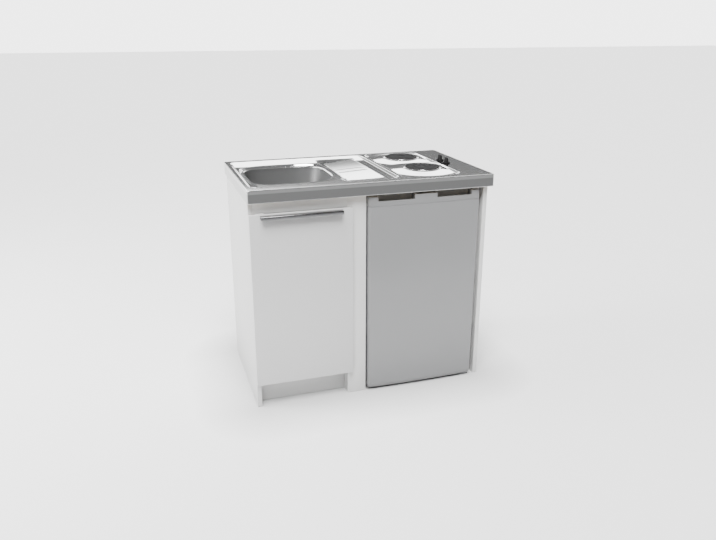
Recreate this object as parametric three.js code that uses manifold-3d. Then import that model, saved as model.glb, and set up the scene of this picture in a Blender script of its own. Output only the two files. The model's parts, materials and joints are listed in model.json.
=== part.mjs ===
// A kitchenette unit: a pressed steel worktop with bowl, drainer and two hot plates on a board
// carcase, with a sink cabinet on the left and an under-counter refrigerator on the right.
// Millimetres. X runs to the right seen from the front, Y from front to back and Z up. Inside the
// unit's group X = Y = 0 is the middle of the worktop; the group is set back so that the origin of
// the whole lies under the middle of its footprint, on the floor.
import * as THREE from "three";
import { mergeVertices } from "three/addons/utils/BufferGeometryUtils.js";
import Module from "manifold-3d";

const wasm = await Module();
wasm.setup();

// Driving sizes ---------------------------------------------------------------------------------

const clearance = 0.3; // between pieces that touch
const past = 2; // how far a cutter runs past the face it opens

const unit = { width: 1000, depth: 600, height: 900 };

const worktop = {
  apron: 50,
  sheet: 1,
  edgeRadius: 4,
  cornerRadius: 6,
  rimFront: 55, // edge of the sheet to the foot of the pressing
  rimBack: 35,
  rimLeft: 28,
  wetWidth: 577,
  ridge: 35, // between the feet of the wet zone and the hob field
  controlZone: 130,
  recess: 5,
  flank: 10, // run of the pressing's sloping wall
  recessCorner: 30,
};

const deck = { depth: 87, slope: 0.055 }; // behind the bowl, falling towards it

const bowl = {
  fromLeft: 36, // sheet's left edge to the bowl's edge
  fromFront: 100,
  width: 388,
  length: 378, // front to back
  lipDrop: 8,
  lipRun: 6,
  flankDrop: 1.5, // the wide, nearly level shoulder inside the lip
  flankLeft: 16,
  flankRight: 38,
  flankFront: 45,
  flankBack: 13,
  depth: 145,
  floorDraft: 70,
  cornerPower: [4.5, 3.5], // left end squarer than the right end
};

const drainer = { width: 162, front: 100, back: 50, slope: 0.055, step: 0.2, bank: 3, gap: 43 };
const groove = { radius: 10, depth: 1.5, spacing: 56, fromRight: 14, length: 115 };

const plate = {
  radius: 72.8,
  rise: 6,
  skirt: 14,
  grooveDepth: 1,
  grooveWidth: 3,
  grooves: [34, 54], // their inner radii
  hollow: 18, // shallow hollow in the middle
  hollowDepth: 1.4,
  fromRight: 223, // the sheet's right edge to the plates' middles
  rearY: 162,
  frontY: -82,
};
const boss = { rim: 9.2, run: 68, drop: 0.5 }; // rim and sloping run round a plate
const plateRing = { reach: 7.2, seat: 3, wall: 0.6, bead: 3.6, beadWidth: 2.1 };
const stud = { radius: 4, nut: 7, length: 14 };
const bridge = { width: 20, thickness: 2.5, bearing: 7 };
const tray = { floor: 44, wall: 1, marginLeft: 6, marginRight: 26, marginY: 7, flange: 10 };

const knob = { radius: 17.5, skirt: 4.5, gripWidth: 11, gripHeight: 20, lift: 0.6 };
const knobPlace = { fromRight: 88, rearY: 38, frontY: -28 };
const rotarySwitch = { side: 44, height: 36, shaft: 3, shaftRise: 14, neck: 5 };

const carcase = {
  board: 18,
  overhangLeft: 3,
  overhangRight: 15,
  frontSetback: 24, // worktop's front edge to the front edges of the boards
  backSetback: 35,
  fillerWidth: 78,
  railHeight: 44, // over the door
  bottomHeight: 103,
  rearRail: 90,
  backBoard: 5,
};
const plinth = { thickness: 16, setback: 49 };
const serviceCut = { width: 210, bottom: 540, top: 720, corner: 20 };
const batten = { right: 30 };

const door = { width: 400, board: 18, gap: 2, bottomReveal: 1, edge: 1 };
const handle = { length: 318, height: 14, depth: 22, wall: 2.5, drop: 3, corner: 3 };
const hinge = {
  fromEnds: 100, // door's end to the cup's middle
  cupRadius: 17.2,
  cupWall: 1,
  cupDepth: 12.3,
  cupInset: 21.5, // door's edge to the cup's middle
  boreGap: 0.3,
  flange: 1,
  flangeLength: 58,
  flangeWidth: 14,
  pivot: [32, -0.5], // from the side panel's outer front edge
  cupPin: [9.4, -2.7],
  linkWidth: 8,
  linkThickness: 1.6,
  eye: 2,
  pin: 1.2,
  armHeight: 15,
  armLength: 58,
  plateLength: 44,
  plateHeight: 52,
  plateThickness: 2,
  plateFrom: 15,
};

const drain = {
  hole: 45.2,
  seat: 58,
  seatDepth: 2,
  flange: 56,
  cupWall: 1.5,
  cupDepth: 46,
  outlet: 20,
  wall: 2,
  rim: 1.2, // thickness of the flange that lies in the seat
  taper: 6,
  spigot: 12, // below the taper, where the trap's nut grips
};
const trap = {
  nut: 27,
  nutLength: 16,
  pipeLength: 28,
  body: 34,
  bodyLength: 80,
  bottleLength: 60,
  branchDrop: 20,
  branchLength: 60,
  cone: 8,
  collar: 14, // how far the bottle's collar reaches up round the body
};

const fridge = {
  width: 478,
  depth: 500,
  fromRightPanel: 20,
  front: 6, // worktop's front edge to the door's front
  doorTop: 840,
  doorBottom: 13,
  gripHeight: 40,
  capHeight: 12,
  doorDepth: 45,
  crown: 5,
  doorCorner: 12,
  joint: 0.3,
  bodyBottom: 22,
  bodyTop: 836,
  gasketDepth: 7.4,
  wall: 38,
  backWall: 40,
  pocketDepth: 116, // compressor pocket
  pocketHeight: 208,
  pocketFloor: 8,
};
const grip = { width: 152, spacing: 247, depth: 20, lip: 6, trough: 12, reach: 24 };
const gasket = { width: 16, inset: 20, depth: 5.1 };
const liner = { sheet: 2, dyke: 36, dykeDepth: 35, dykeInset: 53, dykeMargin: 33, draft: 3, edge: 2 };
const rack = { wall: 2.5, lug: 6, lugHeight: 8, fromLiner: 1.5 };
const upperRack = { z: 560, height: 50, depth: 66 };
const lowerRack = { z: 120, height: 85, depth: 84 };
const doorHinge = { fromSide: 15, fromFront: 24, pin: 4, hole: 4.4, strap: 27, thickness: 3 };
const shelf = { thickness: 4, z: 430, front: 88, rib: 6, ribHeight: 8 };
const crisper = { height: 190, wall: 2.5, draft: 8, front: 97, sideGap: 9, backGap: 8 };
const freezer = { height: 108, wall: 3, sideGap: 11, front: 137, back: 20, flap: 3, pin: 2 };
const thermostat = { depth: 40, length: 100, height: 80, fromFront: 177, z: 560, dial: 16, spindle: 3 };
const compressor = { radius: 50, height: 150, offset: -60, foot: 8 };
const condenser = { tube: 2.6, rows: 9, pitch: 56, width: 380, bottom: 262, standoff: 20, strap: 12 };
const foot = { disc: 16, discHeight: 7, stem: 5, collar: 11, inset: 45, back: 40 };

// Shape tools -----------------------------------------------------------------------------------

// A closed geometry as a solid, with its faces turned outwards.
function solid(geometry) {
  const bare = geometry.index ? geometry.toNonIndexed() : geometry.clone();
  bare.deleteAttribute("normal");
  bare.deleteAttribute("uv");
  const merged = mergeVertices(bare, 1e-4);
  const corners = merged.index.array;
  const build = (turn) => {
    const triangles = [];
    for (let i = 0; i < corners.length; i += 3) {
      const a = corners[i];
      const b = corners[i + (turn ? 2 : 1)];
      const c = corners[i + (turn ? 1 : 2)];
      if (a !== b && b !== c && c !== a) triangles.push(a, b, c);
    }
    const vertProperties = merged.attributes.position.array;
    const triVerts = new Uint32Array(triangles);
    return new wasm.Manifold(new wasm.Mesh({ numProp: 3, vertProperties, triVerts }));
  };
  const made = build(false);
  return made.volume() < 0 ? build(true) : made;
}

function geometryOf(body) {
  const mesh = body.getMesh();
  const geometry = new THREE.BufferGeometry();
  geometry.setAttribute("position", new THREE.BufferAttribute(mesh.vertProperties, 3));
  geometry.setIndex(new THREE.BufferAttribute(mesh.triVerts, 1));
  geometry.computeVertexNormals();
  return geometry;
}

const join = (...bodies) => bodies.reduce((a, b) => a.add(b));
const cut = (body, ...cutters) => cutters.reduce((a, b) => a.subtract(b), body);

function block([x0, x1], [y0, y1], [z0, z1]) {
  const geometry = new THREE.BoxGeometry(x1 - x0, y1 - y0, z1 - z0);
  return solid(geometry.translate((x0 + x1) / 2, (y0 + y1) / 2, (z0 + z1) / 2));
}

// Solids of revolution, round Z unless turned; a profile is a list of [radius, height].
function turned(profile, sides = 24) {
  const points = profile.map(([r, z]) => new THREE.Vector2(r, z));
  return solid(new THREE.LatheGeometry(points, sides).rotateX(Math.PI / 2));
}
const rod = (radius, [z0, z1], sides = 24) =>
  turned([[0, z0], [radius, z0], [radius, z1], [0, z1]], sides);
const alongX = (body) => body.rotate([0, 90, 0]);
const alongY = (body) => body.rotate([-90, 0, 0]);

// What is drawn in X-Y and drawn out along Z is stood up in Y-Z along X, or in X-Z along -Y.
const turnedBy = (...rows) => new THREE.Matrix4().set(...rows, 0, 0, 0, 1).elements;
const standInYZ = (body) => body.transform(turnedBy(0, 0, 1, 0, 1, 0, 0, 0, 0, 1, 0, 0));
const standInXZ = (body) => body.transform(turnedBy(1, 0, 0, 0, 0, 0, -1, 0, 0, 1, 0, 0));

// Outlines, as lists of points that run anticlockwise.
function roundedOutline([x0, x1], [y0, y1], radius, steps = 5) {
  const points = [];
  const middles = [[x1, y1], [x0, y1], [x0, y0], [x1, y0]];
  middles.forEach(([x, y], quarter) => {
    const cx = x + (x === x1 ? -radius : radius);
    const cy = y + (y === y1 ? -radius : radius);
    for (let i = 0; i <= steps; i++) {
      const angle = ((quarter + i / steps) * Math.PI) / 2;
      points.push(new THREE.Vector2(cx + radius * Math.cos(angle), cy + radius * Math.sin(angle)));
    }
  });
  return points;
}
const outline = (points) => points.map(([x, y]) => new THREE.Vector2(x, y));

function prism(points, [z0, z1]) {
  const options = { depth: z1 - z0, bevelEnabled: false };
  const geometry = new THREE.ExtrudeGeometry(new THREE.Shape(points), options);
  return solid(geometry.translate(0, 0, z0));
}

// An outline in the Y-Z plane drawn out along X, and one in the X-Z plane drawn out along Y.
const prismX = (points, [x0, x1]) => standInYZ(prism(points, [x0, x1]));
const prismY = (points, [y0, y1]) => standInXZ(prism(points, [-y1, -y0]));

// A closed skin over convex rings of equally many points.
function skin(rings) {
  const count = rings[0].length;
  const last = (rings.length - 1) * count;
  const index = [];
  for (let start = 0; start < last; start += count) {
    for (let i = 0; i < count; i++) {
      const a = start + i;
      const b = start + ((i + 1) % count);
      index.push(a, b, b + count, a, b + count, a + count);
    }
  }
  for (let i = 1; i + 1 < count; i++) index.push(0, i + 1, i, last, last + i, last + i + 1);
  const positions = rings.flat().flatMap((p) => [p.x, p.y, p.z]);
  const geometry = new THREE.BufferGeometry();
  geometry.setAttribute("position", new THREE.Float32BufferAttribute(positions, 3));
  geometry.setIndex(index);
  return solid(geometry);
}

// A skin over level outlines. A height is a number, or a function of the point.
function loft(levels) {
  const heightAt = (z, p) => (typeof z === "function" ? z(p) : z);
  return skin(
    levels.map(({ points, z }) => points.map((p) => new THREE.Vector3(p.x, p.y, heightAt(z, p)))),
  );
}

// A round bar along a path of [x, z] in an upright plane at one y.
function uprightBar(path, y, radius, sides = 6) {
  const stops = path.map(([x, z]) => new THREE.Vector2(x, z));
  return skin(
    stops.map((stop, i) => {
      const before = stops[Math.max(i - 1, 0)];
      const after = stops[Math.min(i + 1, stops.length - 1)];
      const along = after.clone().sub(before).normalize();
      return Array.from({ length: sides }, (_, k) => {
        const angle = (2 * Math.PI * k) / sides;
        const across = radius * Math.cos(angle);
        const x = stop.x + along.y * across;
        return new THREE.Vector3(x, y + radius * Math.sin(angle), stop.y - along.x * across);
      });
    }),
  );
}

const look = (color, roughness, metalness = 0) =>
  new THREE.MeshStandardMaterial({ color, roughness, metalness });
const steel = () => look(0x9a9c9c, 0.32, 1);
const zinc = () => look(0xa8aaa8, 0.45, 1);
const whiteBoard = () => look(0xe6e6e4, 0.45);
const greyDoor = () => look(0xb4b5b5, 0.4);
const whitePlastic = () => look(0xe4e5e3, 0.4);
const blackPlastic = () => look(0x262626, 0.45);
const castIron = () => look(0x3a3a3b, 0.7, 0.3);

function add(group, name, body, material) {
  const mesh = new THREE.Mesh(geometryOf(body), material);
  mesh.name = name;
  group.add(mesh);
  return mesh;
}

const groupAt = (parent, x, y, z) => {
  const group = new THREE.Group();
  group.position.set(x, y, z);
  parent.add(group);
  return group;
};

// Shared places ---------------------------------------------------------------------------------

const halfWidth = unit.width / 2;
const halfDepth = unit.depth / 2;
const carcaseTop = unit.height - worktop.apron;
const frontPlane = -halfDepth + carcase.frontSetback;
const backPlane = halfDepth - carcase.backSetback;
const leftPanel = [-halfWidth + carcase.overhangLeft, -halfWidth + carcase.overhangLeft + carcase.board];
const rightPanel = [halfWidth - carcase.overhangRight - carcase.board, halfWidth - carcase.overhangRight];
const doorSpan = [leftPanel[0], leftPanel[0] + door.width];
const partition = [doorSpan[1] - carcase.board, doorSpan[1]];
const filler = [partition[0], partition[0] + carcase.fillerWidth];
const doorHeight = [carcase.bottomHeight + door.bottomReveal, carcaseTop - carcase.railHeight];
const doorBack = frontPlane - door.gap;
const inner = [leftPanel[1] + clearance, partition[0] - clearance]; // of the sink cabinet
const fridgeMiddle = rightPanel[0] - fridge.fromRightPanel - fridge.width / 2;
const fridgeFront = -halfDepth + fridge.front;

const wetX = [-halfWidth + worktop.rimLeft, -halfWidth + worktop.rimLeft + worktop.wetWidth];
const hobX = [wetX[1] + worktop.ridge, halfWidth - worktop.controlZone];
const pressedY = [-halfDepth + worktop.rimFront, halfDepth - worktop.rimBack];
const recessZ = unit.height - worktop.recess;
const bossZ = unit.height - boss.drop;
const bossTop = plate.radius + boss.rim;
const plateX = halfWidth - plate.fromRight;
const knobX = halfWidth - knobPlace.fromRight;
const plateStations = [["rear", plate.rearY], ["front", plate.frontY]];
const knobStations = [["rear", knobPlace.rearY], ["front", knobPlace.frontY]];

const bowlLip = {
  x: [-halfWidth + bowl.fromLeft, -halfWidth + bowl.fromLeft + bowl.width],
  y: [-halfDepth + bowl.fromFront, -halfDepth + bowl.fromFront + bowl.length],
};
const bowlWell = {
  x: [bowlLip.x[0] + bowl.flankLeft, bowlLip.x[1] - bowl.flankRight],
  y: [bowlLip.y[0] + bowl.flankFront, bowlLip.y[1] - bowl.flankBack],
};
const lipZ = recessZ - bowl.lipDrop;
const bowlFloor = recessZ - bowl.depth;
const drainX = (bowlWell.x[0] + bowlWell.x[1]) / 2;
const drainY = (bowlWell.y[0] + bowlWell.y[1]) / 2;
const deckFoot = pressedY[1] - deck.depth;

// Worktop ---------------------------------------------------------------------------------------

// Each pressing is the space above the sheet's upper face, grown by a distance. Grown by nothing it
// cuts the upper face, and grown by the sheet's thickness it shapes the lower one.

function pressedRecess([x0, x1], grow) {
  const ring = (out, z) => ({
    points: roundedOutline(
      [x0 - out, x1 + out],
      [pressedY[0] - out, pressedY[1] + out],
      worktop.recessCorner + out,
    ),
    z,
  });
  const out = worktop.flank + grow;
  return loft([ring(grow, recessZ - grow), ring(out, unit.height - grow), ring(out, unit.height + past)]);
}

// The bowl's end curves are superellipses: x and y follow the powers of a cosine and a sine.
function bowlOutline({ x: [x0, x1], y: [y0, y1] }, grow, count = 36) {
  const middle = x0 + (y1 - y0) / 2;
  const halfLength = (y1 - y0) / 2 + grow;
  const power = (value, exponent) => Math.sign(value) * Math.abs(value) ** (2 / exponent);
  return Array.from({ length: count }, (_, i) => {
    const angle = ((i + 0.5) / count) * 2 * Math.PI;
    const right = Math.cos(angle) > 0;
    const reach = (right ? x1 - middle : middle - x0) + grow;
    const exponent = bowl.cornerPower[right ? 1 : 0];
    return new THREE.Vector2(
      middle + reach * power(Math.cos(angle), exponent),
      (y0 + y1) / 2 + halfLength * power(Math.sin(angle), exponent),
    );
  });
}

function bowlSpace(grow) {
  const wellZ = lipZ - bowl.flankDrop;
  const ring = (edge, out, z) => ({ points: bowlOutline(edge, out + grow), z: z - grow });
  const well = loft([
    ring(bowlWell, -bowl.floorDraft, bowlFloor),
    ring(bowlWell, -0.6 * bowl.floorDraft, bowlFloor + 2),
    ring(bowlWell, -0.36 * bowl.floorDraft, bowlFloor + 10),
    ring(bowlWell, -0.24 * bowl.floorDraft, bowlFloor + 24),
    ring(bowlWell, -3, wellZ - 10),
    ring(bowlWell, 0, wellZ),
    ring(bowlLip, 0, lipZ),
    ring(bowlLip, bowl.lipRun, recessZ),
    ring(bowlLip, bowl.lipRun, recessZ + past + grow),
  ]);
  const seat = rod(drain.seat + grow, [bowlFloor - drain.seatDepth - grow, bowlFloor + past], 32);
  return join(well, seat.translate([drainX, drainY, 0]));
}

// The drainer falls towards the bowl and has two grooves along its fall.
function drainerSpace(grow) {
  const right = wetX[1] - drainer.gap;
  const x = [right - drainer.width, right];
  const y = [-halfDepth + drainer.front, pressedY[1] - drainer.back];
  const fall = (px) => recessZ - (right - px) * drainer.slope;
  const ring = (out, z) => ({
    points: roundedOutline([x[0] - out, x[1] + out], [y[0] - out, y[1] + out], drainer.bank + out, 2),
    z,
  });
  const floor = loft([
    ring(grow, (p) => fall(p.x) - grow - drainer.step),
    ring(grow + drainer.bank, recessZ - grow),
    ring(grow + drainer.bank, unit.height),
  ]);
  const middle = right - groove.fromRight - groove.length / 2;
  const flutes = [-0.5, 0.5].map((side) => {
    const flute = new THREE.CapsuleGeometry(groove.radius + grow, groove.length, 4, 24);
    flute.rotateZ(Math.PI / 2).rotateY(-Math.atan(drainer.slope));
    const lift = groove.radius - groove.depth;
    return solid(flute.translate(middle, drainY + side * groove.spacing, fall(middle) + lift));
  });
  return join(floor, ...flutes);
}

// Ground that stays above the floor of a pressing: the sloping deck and the bosses of the plates.
function deckGround(grow) {
  const end = pressedY[1] + worktop.flank + past;
  const rise = (end - deckFoot) * deck.slope;
  const points = outline([
    [deckFoot, recessZ - 2 * worktop.recess],
    [end, recessZ - 2 * worktop.recess],
    [end, recessZ + rise - grow],
    [deckFoot, recessZ - grow],
  ]);
  return prismX(points, [-halfWidth, wetX[1] + worktop.flank + past]);
}

// The shoulder round the bowl stays level where the drainer runs up to it.
function shoulderGround(grow) {
  const top = lipZ - grow;
  return loft([
    { points: bowlOutline(bowlLip, -grow), z: top - 2 * bowl.lipDrop },
    { points: bowlOutline(bowlLip, -grow), z: top },
  ]);
}

function bossGround(grow, y) {
  const low = recessZ - 2 * worktop.recess;
  const profile = [
    [0, low],
    [bossTop + boss.run, low],
    [bossTop + boss.run, recessZ - grow],
    [bossTop, bossZ - grow],
    [0, bossZ - grow],
  ];
  return turned(profile, 36).translate([plateX, y, 0]);
}

function pressings(grow) {
  const wet = cut(pressedRecess(wetX, grow), deckGround(grow));
  const bosses = plateStations.map(([, y]) => bossGround(grow, y));
  const hob = cut(pressedRecess(hobX, grow), ...bosses);
  const drainer = cut(drainerSpace(grow), shoulderGround(grow));
  return join(wet, drainer, bowlSpace(grow), hob);
}

// The outer form of the worktop above a height, drawn in by a distance.
function worktopForm(inset, z0) {
  const bend = worktop.edgeRadius - inset;
  const high = unit.height - inset;
  const ring = (extra, z) => ({
    points: roundedOutline(
      [-halfWidth + inset + extra, halfWidth - inset - extra],
      [-halfDepth + inset + extra, halfDepth - inset - extra],
      worktop.cornerRadius,
      4,
    ),
    z,
  });
  return loft([ring(0, z0), ring(0, high - bend), ring(0.3 * bend, high - 0.3 * bend), ring(bend, high)]);
}

function worktopSheet() {
  const outside = join(worktopForm(0, carcaseTop), bowlSpace(worktop.sheet));
  const hollow = worktopForm(worktop.sheet, carcaseTop - past);
  const plateHole = rod(plate.radius + plateRing.seat, [recessZ - 20, unit.height + past], 32);
  const shaftHole = rod(rotarySwitch.neck + clearance, [recessZ - 20, unit.height + past], 16);
  const drainHole = rod(drain.hole, [bowlFloor - 20, bowlFloor + past], 32);
  return cut(
    outside,
    pressings(0),
    cut(hollow, pressings(worktop.sheet)),
    drainHole.translate([drainX, drainY, 0]),
    ...plateStations.map(([, y]) => plateHole.translate([plateX, y, 0])),
    ...knobStations.map(([, y]) => shaftHole.translate([knobX, y, 0])),
  );
}

function worktopPieces(parent) {
  const group = groupAt(parent, 0, 0, 0);
  add(group, "worktop_sheet", worktopSheet(), steel());
  const skinGap = worktop.sheet + clearance;
  const under = worktop.flank + skinGap;
  const low = carcaseTop + clearance;
  const z = [low, unit.height];
  const x = [-halfWidth, halfWidth];
  const frontEnd = -halfDepth + worktop.rimFront - under;
  const backStart = halfDepth - worktop.rimBack + under;
  const leftEnd = -halfWidth + worktop.rimLeft - under;
  const rightStart = halfWidth - batten.right;
  const between = [frontEnd + clearance, backStart - clearance];
  const room = worktopForm(skinGap, low);
  const addBatten = (name, ...spans) =>
    add(group, name, room.intersect(block(...spans)), look(0xc9ab7c, 0.8));
  addBatten("front_batten", x, [-halfDepth, frontEnd], z);
  addBatten("rear_batten", x, [backStart, halfDepth], z);
  addBatten("left_batten", [-halfWidth, leftEnd], between, z);
  addBatten("right_batten", [rightStart, halfWidth], between, z);
}

// Carcase ---------------------------------------------------------------------------------------

function carcasePieces(parent) {
  const group = groupAt(parent, 0, 0, 0);
  const deep = [frontPlane, backPlane];
  const tall = [0, carcaseTop];
  const face = [frontPlane, frontPlane + carcase.board];
  const rearFace = [backPlane - carcase.board, backPlane];
  const rearHeight = [carcaseTop - carcase.rearRail, carcaseTop];
  const backBoard = [rearFace[0] - clearance - carcase.backBoard, rearFace[0] - clearance];
  add(group, "left_side_panel", block(leftPanel, deep, tall), whiteBoard());
  add(group, "right_side_panel", block(rightPanel, deep, tall), whiteBoard());
  add(group, "partition_panel", block(partition, [face[1] + clearance, backPlane], tall), whiteBoard());
  add(group, "filler_panel", block(filler, face, tall), whiteBoard());
  add(group, "front_rail", block(inner, face, [doorHeight[1], carcaseTop]), whiteBoard());
  const bottomTop = carcase.bottomHeight + carcase.board;
  const bottomDepth = [frontPlane, backBoard[0] - clearance];
  const bottom = block(inner, bottomDepth, [carcase.bottomHeight, bottomTop]);
  add(group, "cabinet_bottom", bottom, whiteBoard());
  add(group, "rear_rail", block(inner, rearFace, rearHeight), whiteBoard());
  const niche = [partition[1] + clearance, rightPanel[0] - clearance];
  add(group, "niche_rear_rail", block(niche, rearFace, rearHeight), whiteBoard());
  const plinthY = frontPlane + plinth.setback;
  const plinthDepth = [plinthY, plinthY + plinth.thickness];
  const plinthHeight = [0, carcase.bottomHeight - clearance];
  add(group, "plinth_board", block(inner, plinthDepth, plinthHeight), whiteBoard());
  const opening = prismY(
    roundedOutline(
      [drainX - serviceCut.width / 2, drainX + serviceCut.width / 2],
      [serviceCut.bottom, serviceCut.top],
      serviceCut.corner,
    ),
    [backBoard[0] - past, backBoard[1] + past],
  );
  const back = cut(block(inner, backBoard, [carcase.bottomHeight, carcaseTop]), opening);
  add(group, "cabinet_back", back, whiteBoard());
}

// Cabinet door, handle and concealed hinges -----------------------------------------------------

const hingeHeights = [
  ["upper", doorHeight[1] - hinge.fromEnds],
  ["lower", doorHeight[0] + hinge.fromEnds],
];

function doorBoard() {
  const edge = door.edge;
  const ring = (inset, z) => ({
    points: roundedOutline(
      [doorSpan[0] + inset, doorSpan[1] - inset],
      [doorHeight[0] + inset, doorHeight[1] - inset],
      edge,
      1,
    ),
    z,
  });
  const slab = loft([ring(0, 0), ring(0, door.board - edge), ring(edge, door.board)]);
  const bore = alongY(rod(hinge.cupRadius + hinge.boreGap, [-hinge.cupDepth - clearance, past], 28));
  const board = standInXZ(slab).translate([0, doorBack, 0]);
  const bores = hingeHeights.map(([, z]) => bore.translate([doorSpan[0] + hinge.cupInset, doorBack, z]));
  return cut(board, ...bores);
}

// The handle is a channel that is open below: fingers reach up behind its front lip.
function barHandle() {
  const back = doorBack - door.board - clearance;
  const front = back - handle.depth;
  const high = doorHeight[1] - handle.drop;
  const low = high - handle.height;
  const shape = new THREE.Shape();
  shape.moveTo(back, low);
  shape.lineTo(back, high);
  shape.lineTo(front + handle.corner, high);
  shape.absarc(front + handle.corner, high - handle.corner, handle.corner, Math.PI / 2, Math.PI);
  shape.lineTo(front, low);
  shape.lineTo(front + handle.wall, low);
  shape.lineTo(front + handle.wall, high - handle.corner);
  shape.lineTo(front + handle.corner, high - handle.wall);
  shape.lineTo(back - handle.wall, high - handle.wall);
  shape.lineTo(back - handle.wall, low);
  const middle = (doorSpan[0] + doorSpan[1]) / 2;
  return prismX(shape.getPoints(5), [middle - handle.length / 2, middle + handle.length / 2]);
}

// Hinge pieces are drawn from the side panel's outer front edge, at the hinge's height.
function hingeCup() {
  const back = -door.gap;
  const { cupRadius, cupWall, cupDepth, flange, flangeWidth, flangeLength } = hinge;
  const rim = [back + clearance, back + clearance + flange];
  const shell = turned(
    [
      [0, back - cupDepth],
      [cupRadius, back - cupDepth],
      [cupRadius, rim[0]],
      [cupRadius + 1.4, rim[0]],
      [cupRadius + 1.4, rim[1]],
      [0, rim[1]],
    ],
    28,
  );
  const wing = prism(
    roundedOutline(
      [-flangeWidth / 2, flangeWidth / 2],
      [-flangeLength / 2, flangeLength / 2],
      flangeWidth / 2 - 1,
      4,
    ),
    rim,
  );
  const hollow = rod(cupRadius - cupWall, [back - cupDepth + cupWall, past], 28);
  return alongY(cut(join(shell, wing), hollow)).translate([hinge.cupInset, 0, 0]);
}

function hingeLink() {
  const [ax, ay] = hinge.pivot;
  const [bx, by] = hinge.cupPin;
  const high = [-hinge.linkWidth / 2, hinge.linkWidth / 2];
  const length = Math.hypot(ax - bx, ay - by);
  const web = block([-length, 0], [-hinge.linkThickness / 2, hinge.linkThickness / 2], high);
  const angle = (Math.atan2(ay - by, ax - bx) * 180) / Math.PI;
  const bar = join(
    web.rotate([0, 0, angle]).translate([ax, ay, 0]),
    rod(hinge.eye, high, 16).translate([ax, ay, 0]),
    rod(hinge.linkThickness / 2, high, 12).translate([bx, by, 0]),
  );
  const bore = rod(hinge.pin + 0.1, [high[0] - past, high[1] + past], 16);
  return cut(bar, bore.translate([ax, ay, 0]));
}

function hingeArm() {
  const [ax, ay] = hinge.pivot;
  const inside = carcase.board + clearance;
  const ear = hinge.eye + 0.8;
  const top = ax + ear;
  const half = hinge.armHeight / 2;
  const slot = hinge.linkWidth / 2 + clearance;
  const flank = outline([
    [inside, hinge.plateFrom],
    [ax - ear, ay + 1],
    [ax - ear * 0.7, ay - ear * 0.7],
    [ax, ay - ear],
    [ax + ear * 0.7, ay - ear * 0.7],
    [top, ay],
    [top, hinge.armLength * 0.5],
    [inside + 4, hinge.armLength],
    [inside, hinge.armLength],
  ]);
  const body = prism(flank, [-half, half]);
  const fork = block([ax - 2 * ear, top + past], [ay - 2 * ear, ay + 2 * ear], [-slot, slot]);
  const under = block([inside - past, top - 1.5], [ay + ear, hinge.armLength + past], [-slot, slot]);
  const plateY = [hinge.plateFrom, hinge.plateFrom + hinge.plateLength];
  const base = block(
    [inside, inside + hinge.plateThickness],
    plateY,
    [-hinge.plateHeight / 2, hinge.plateHeight / 2],
  );
  const pin = rod(hinge.pin, [-half, half], 16).translate([ax, ay, 0]);
  return join(cut(body, fork, under), base, pin);
}

function doorPieces(parent) {
  const group = groupAt(parent, 0, 0, 0);
  add(group, "cabinet_door", doorBoard(), whiteBoard());
  add(group, "door_handle", barHandle(), zinc());
  hingeHeights.forEach(([level, z]) => {
    const corner = groupAt(group, leftPanel[0], frontPlane, z);
    add(corner, `hinge_cup_${level}`, hingeCup(), zinc());
    add(corner, `hinge_link_${level}`, hingeLink(), zinc());
    add(corner, `hinge_arm_${level}`, hingeArm(), zinc());
  });
}

// Drain -----------------------------------------------------------------------------------------

// Heights are from the floor of the bowl.
const strainerEnd = -drain.cupDepth - drain.taper - drain.spigot;

function strainer() {
  const { flange, hole, seatDepth, cupWall, cupDepth, outlet, wall, rim, taper } = drain;
  const out = hole - clearance - 0.2;
  const low = -seatDepth + clearance;
  return turned(
    [
      [flange, low],
      [out, low],
      [out, -cupDepth],
      [outlet + wall, -cupDepth - taper],
      [outlet + wall, strainerEnd],
      [outlet, strainerEnd],
      [outlet, -cupDepth - taper + 1],
      [out - cupWall, -cupDepth + cupWall],
      [out - cupWall, low + rim],
      [flange - 1, low + rim],
      [flange, low],
    ],
    32,
  );
}

function strainerBasket() {
  const rim = drain.hole - clearance - 0.2 - drain.cupWall - clearance;
  return turned(
    [
      [0, -30],
      [rim - 7, -30],
      [rim - 5, -6],
      [rim, -4.5],
      [rim, -3.3],
      [rim - 6, -4.8],
      [rim - 8, -28.8],
      [3, -28.8],
      [3, 2],
      [6.5, 4],
      [6.5, 7],
      [0, 8],
    ],
    28,
  );
}

const trapTop = strainerEnd - clearance;
const trapBodyTop = trapTop - trap.nutLength - trap.pipeLength;
const trapBodyEnd = trapBodyTop - trap.bodyLength;
const branchZ = trapBodyTop - trap.branchDrop;

function trapBody() {
  const { nut, nutLength, body, branchLength, cone } = trap;
  const { outlet, wall } = drain;
  const outside = turned([
    [0, trapBodyEnd],
    [body, trapBodyEnd],
    [body, trapBodyTop],
    [outlet, trapBodyTop + cone],
    [outlet, trapTop - nutLength],
    [nut, trapTop - nutLength],
    [nut, trapTop],
    [0, trapTop],
  ]);
  const inside = turned([
    [0, trapBodyEnd - past],
    [body - wall, trapBodyEnd - past],
    [body - wall, trapBodyTop - wall],
    [outlet - wall, trapBodyTop + cone - wall],
    [outlet - wall, trapTop + past],
    [0, trapTop + past],
  ]);
  const branch = alongY(rod(outlet, [0, branchLength], 24)).translate([0, 0, branchZ]);
  const bore = alongY(rod(outlet - wall, [0, branchLength + past], 24)).translate([0, 0, branchZ]);
  return cut(join(outside, branch), inside, bore);
}

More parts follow.
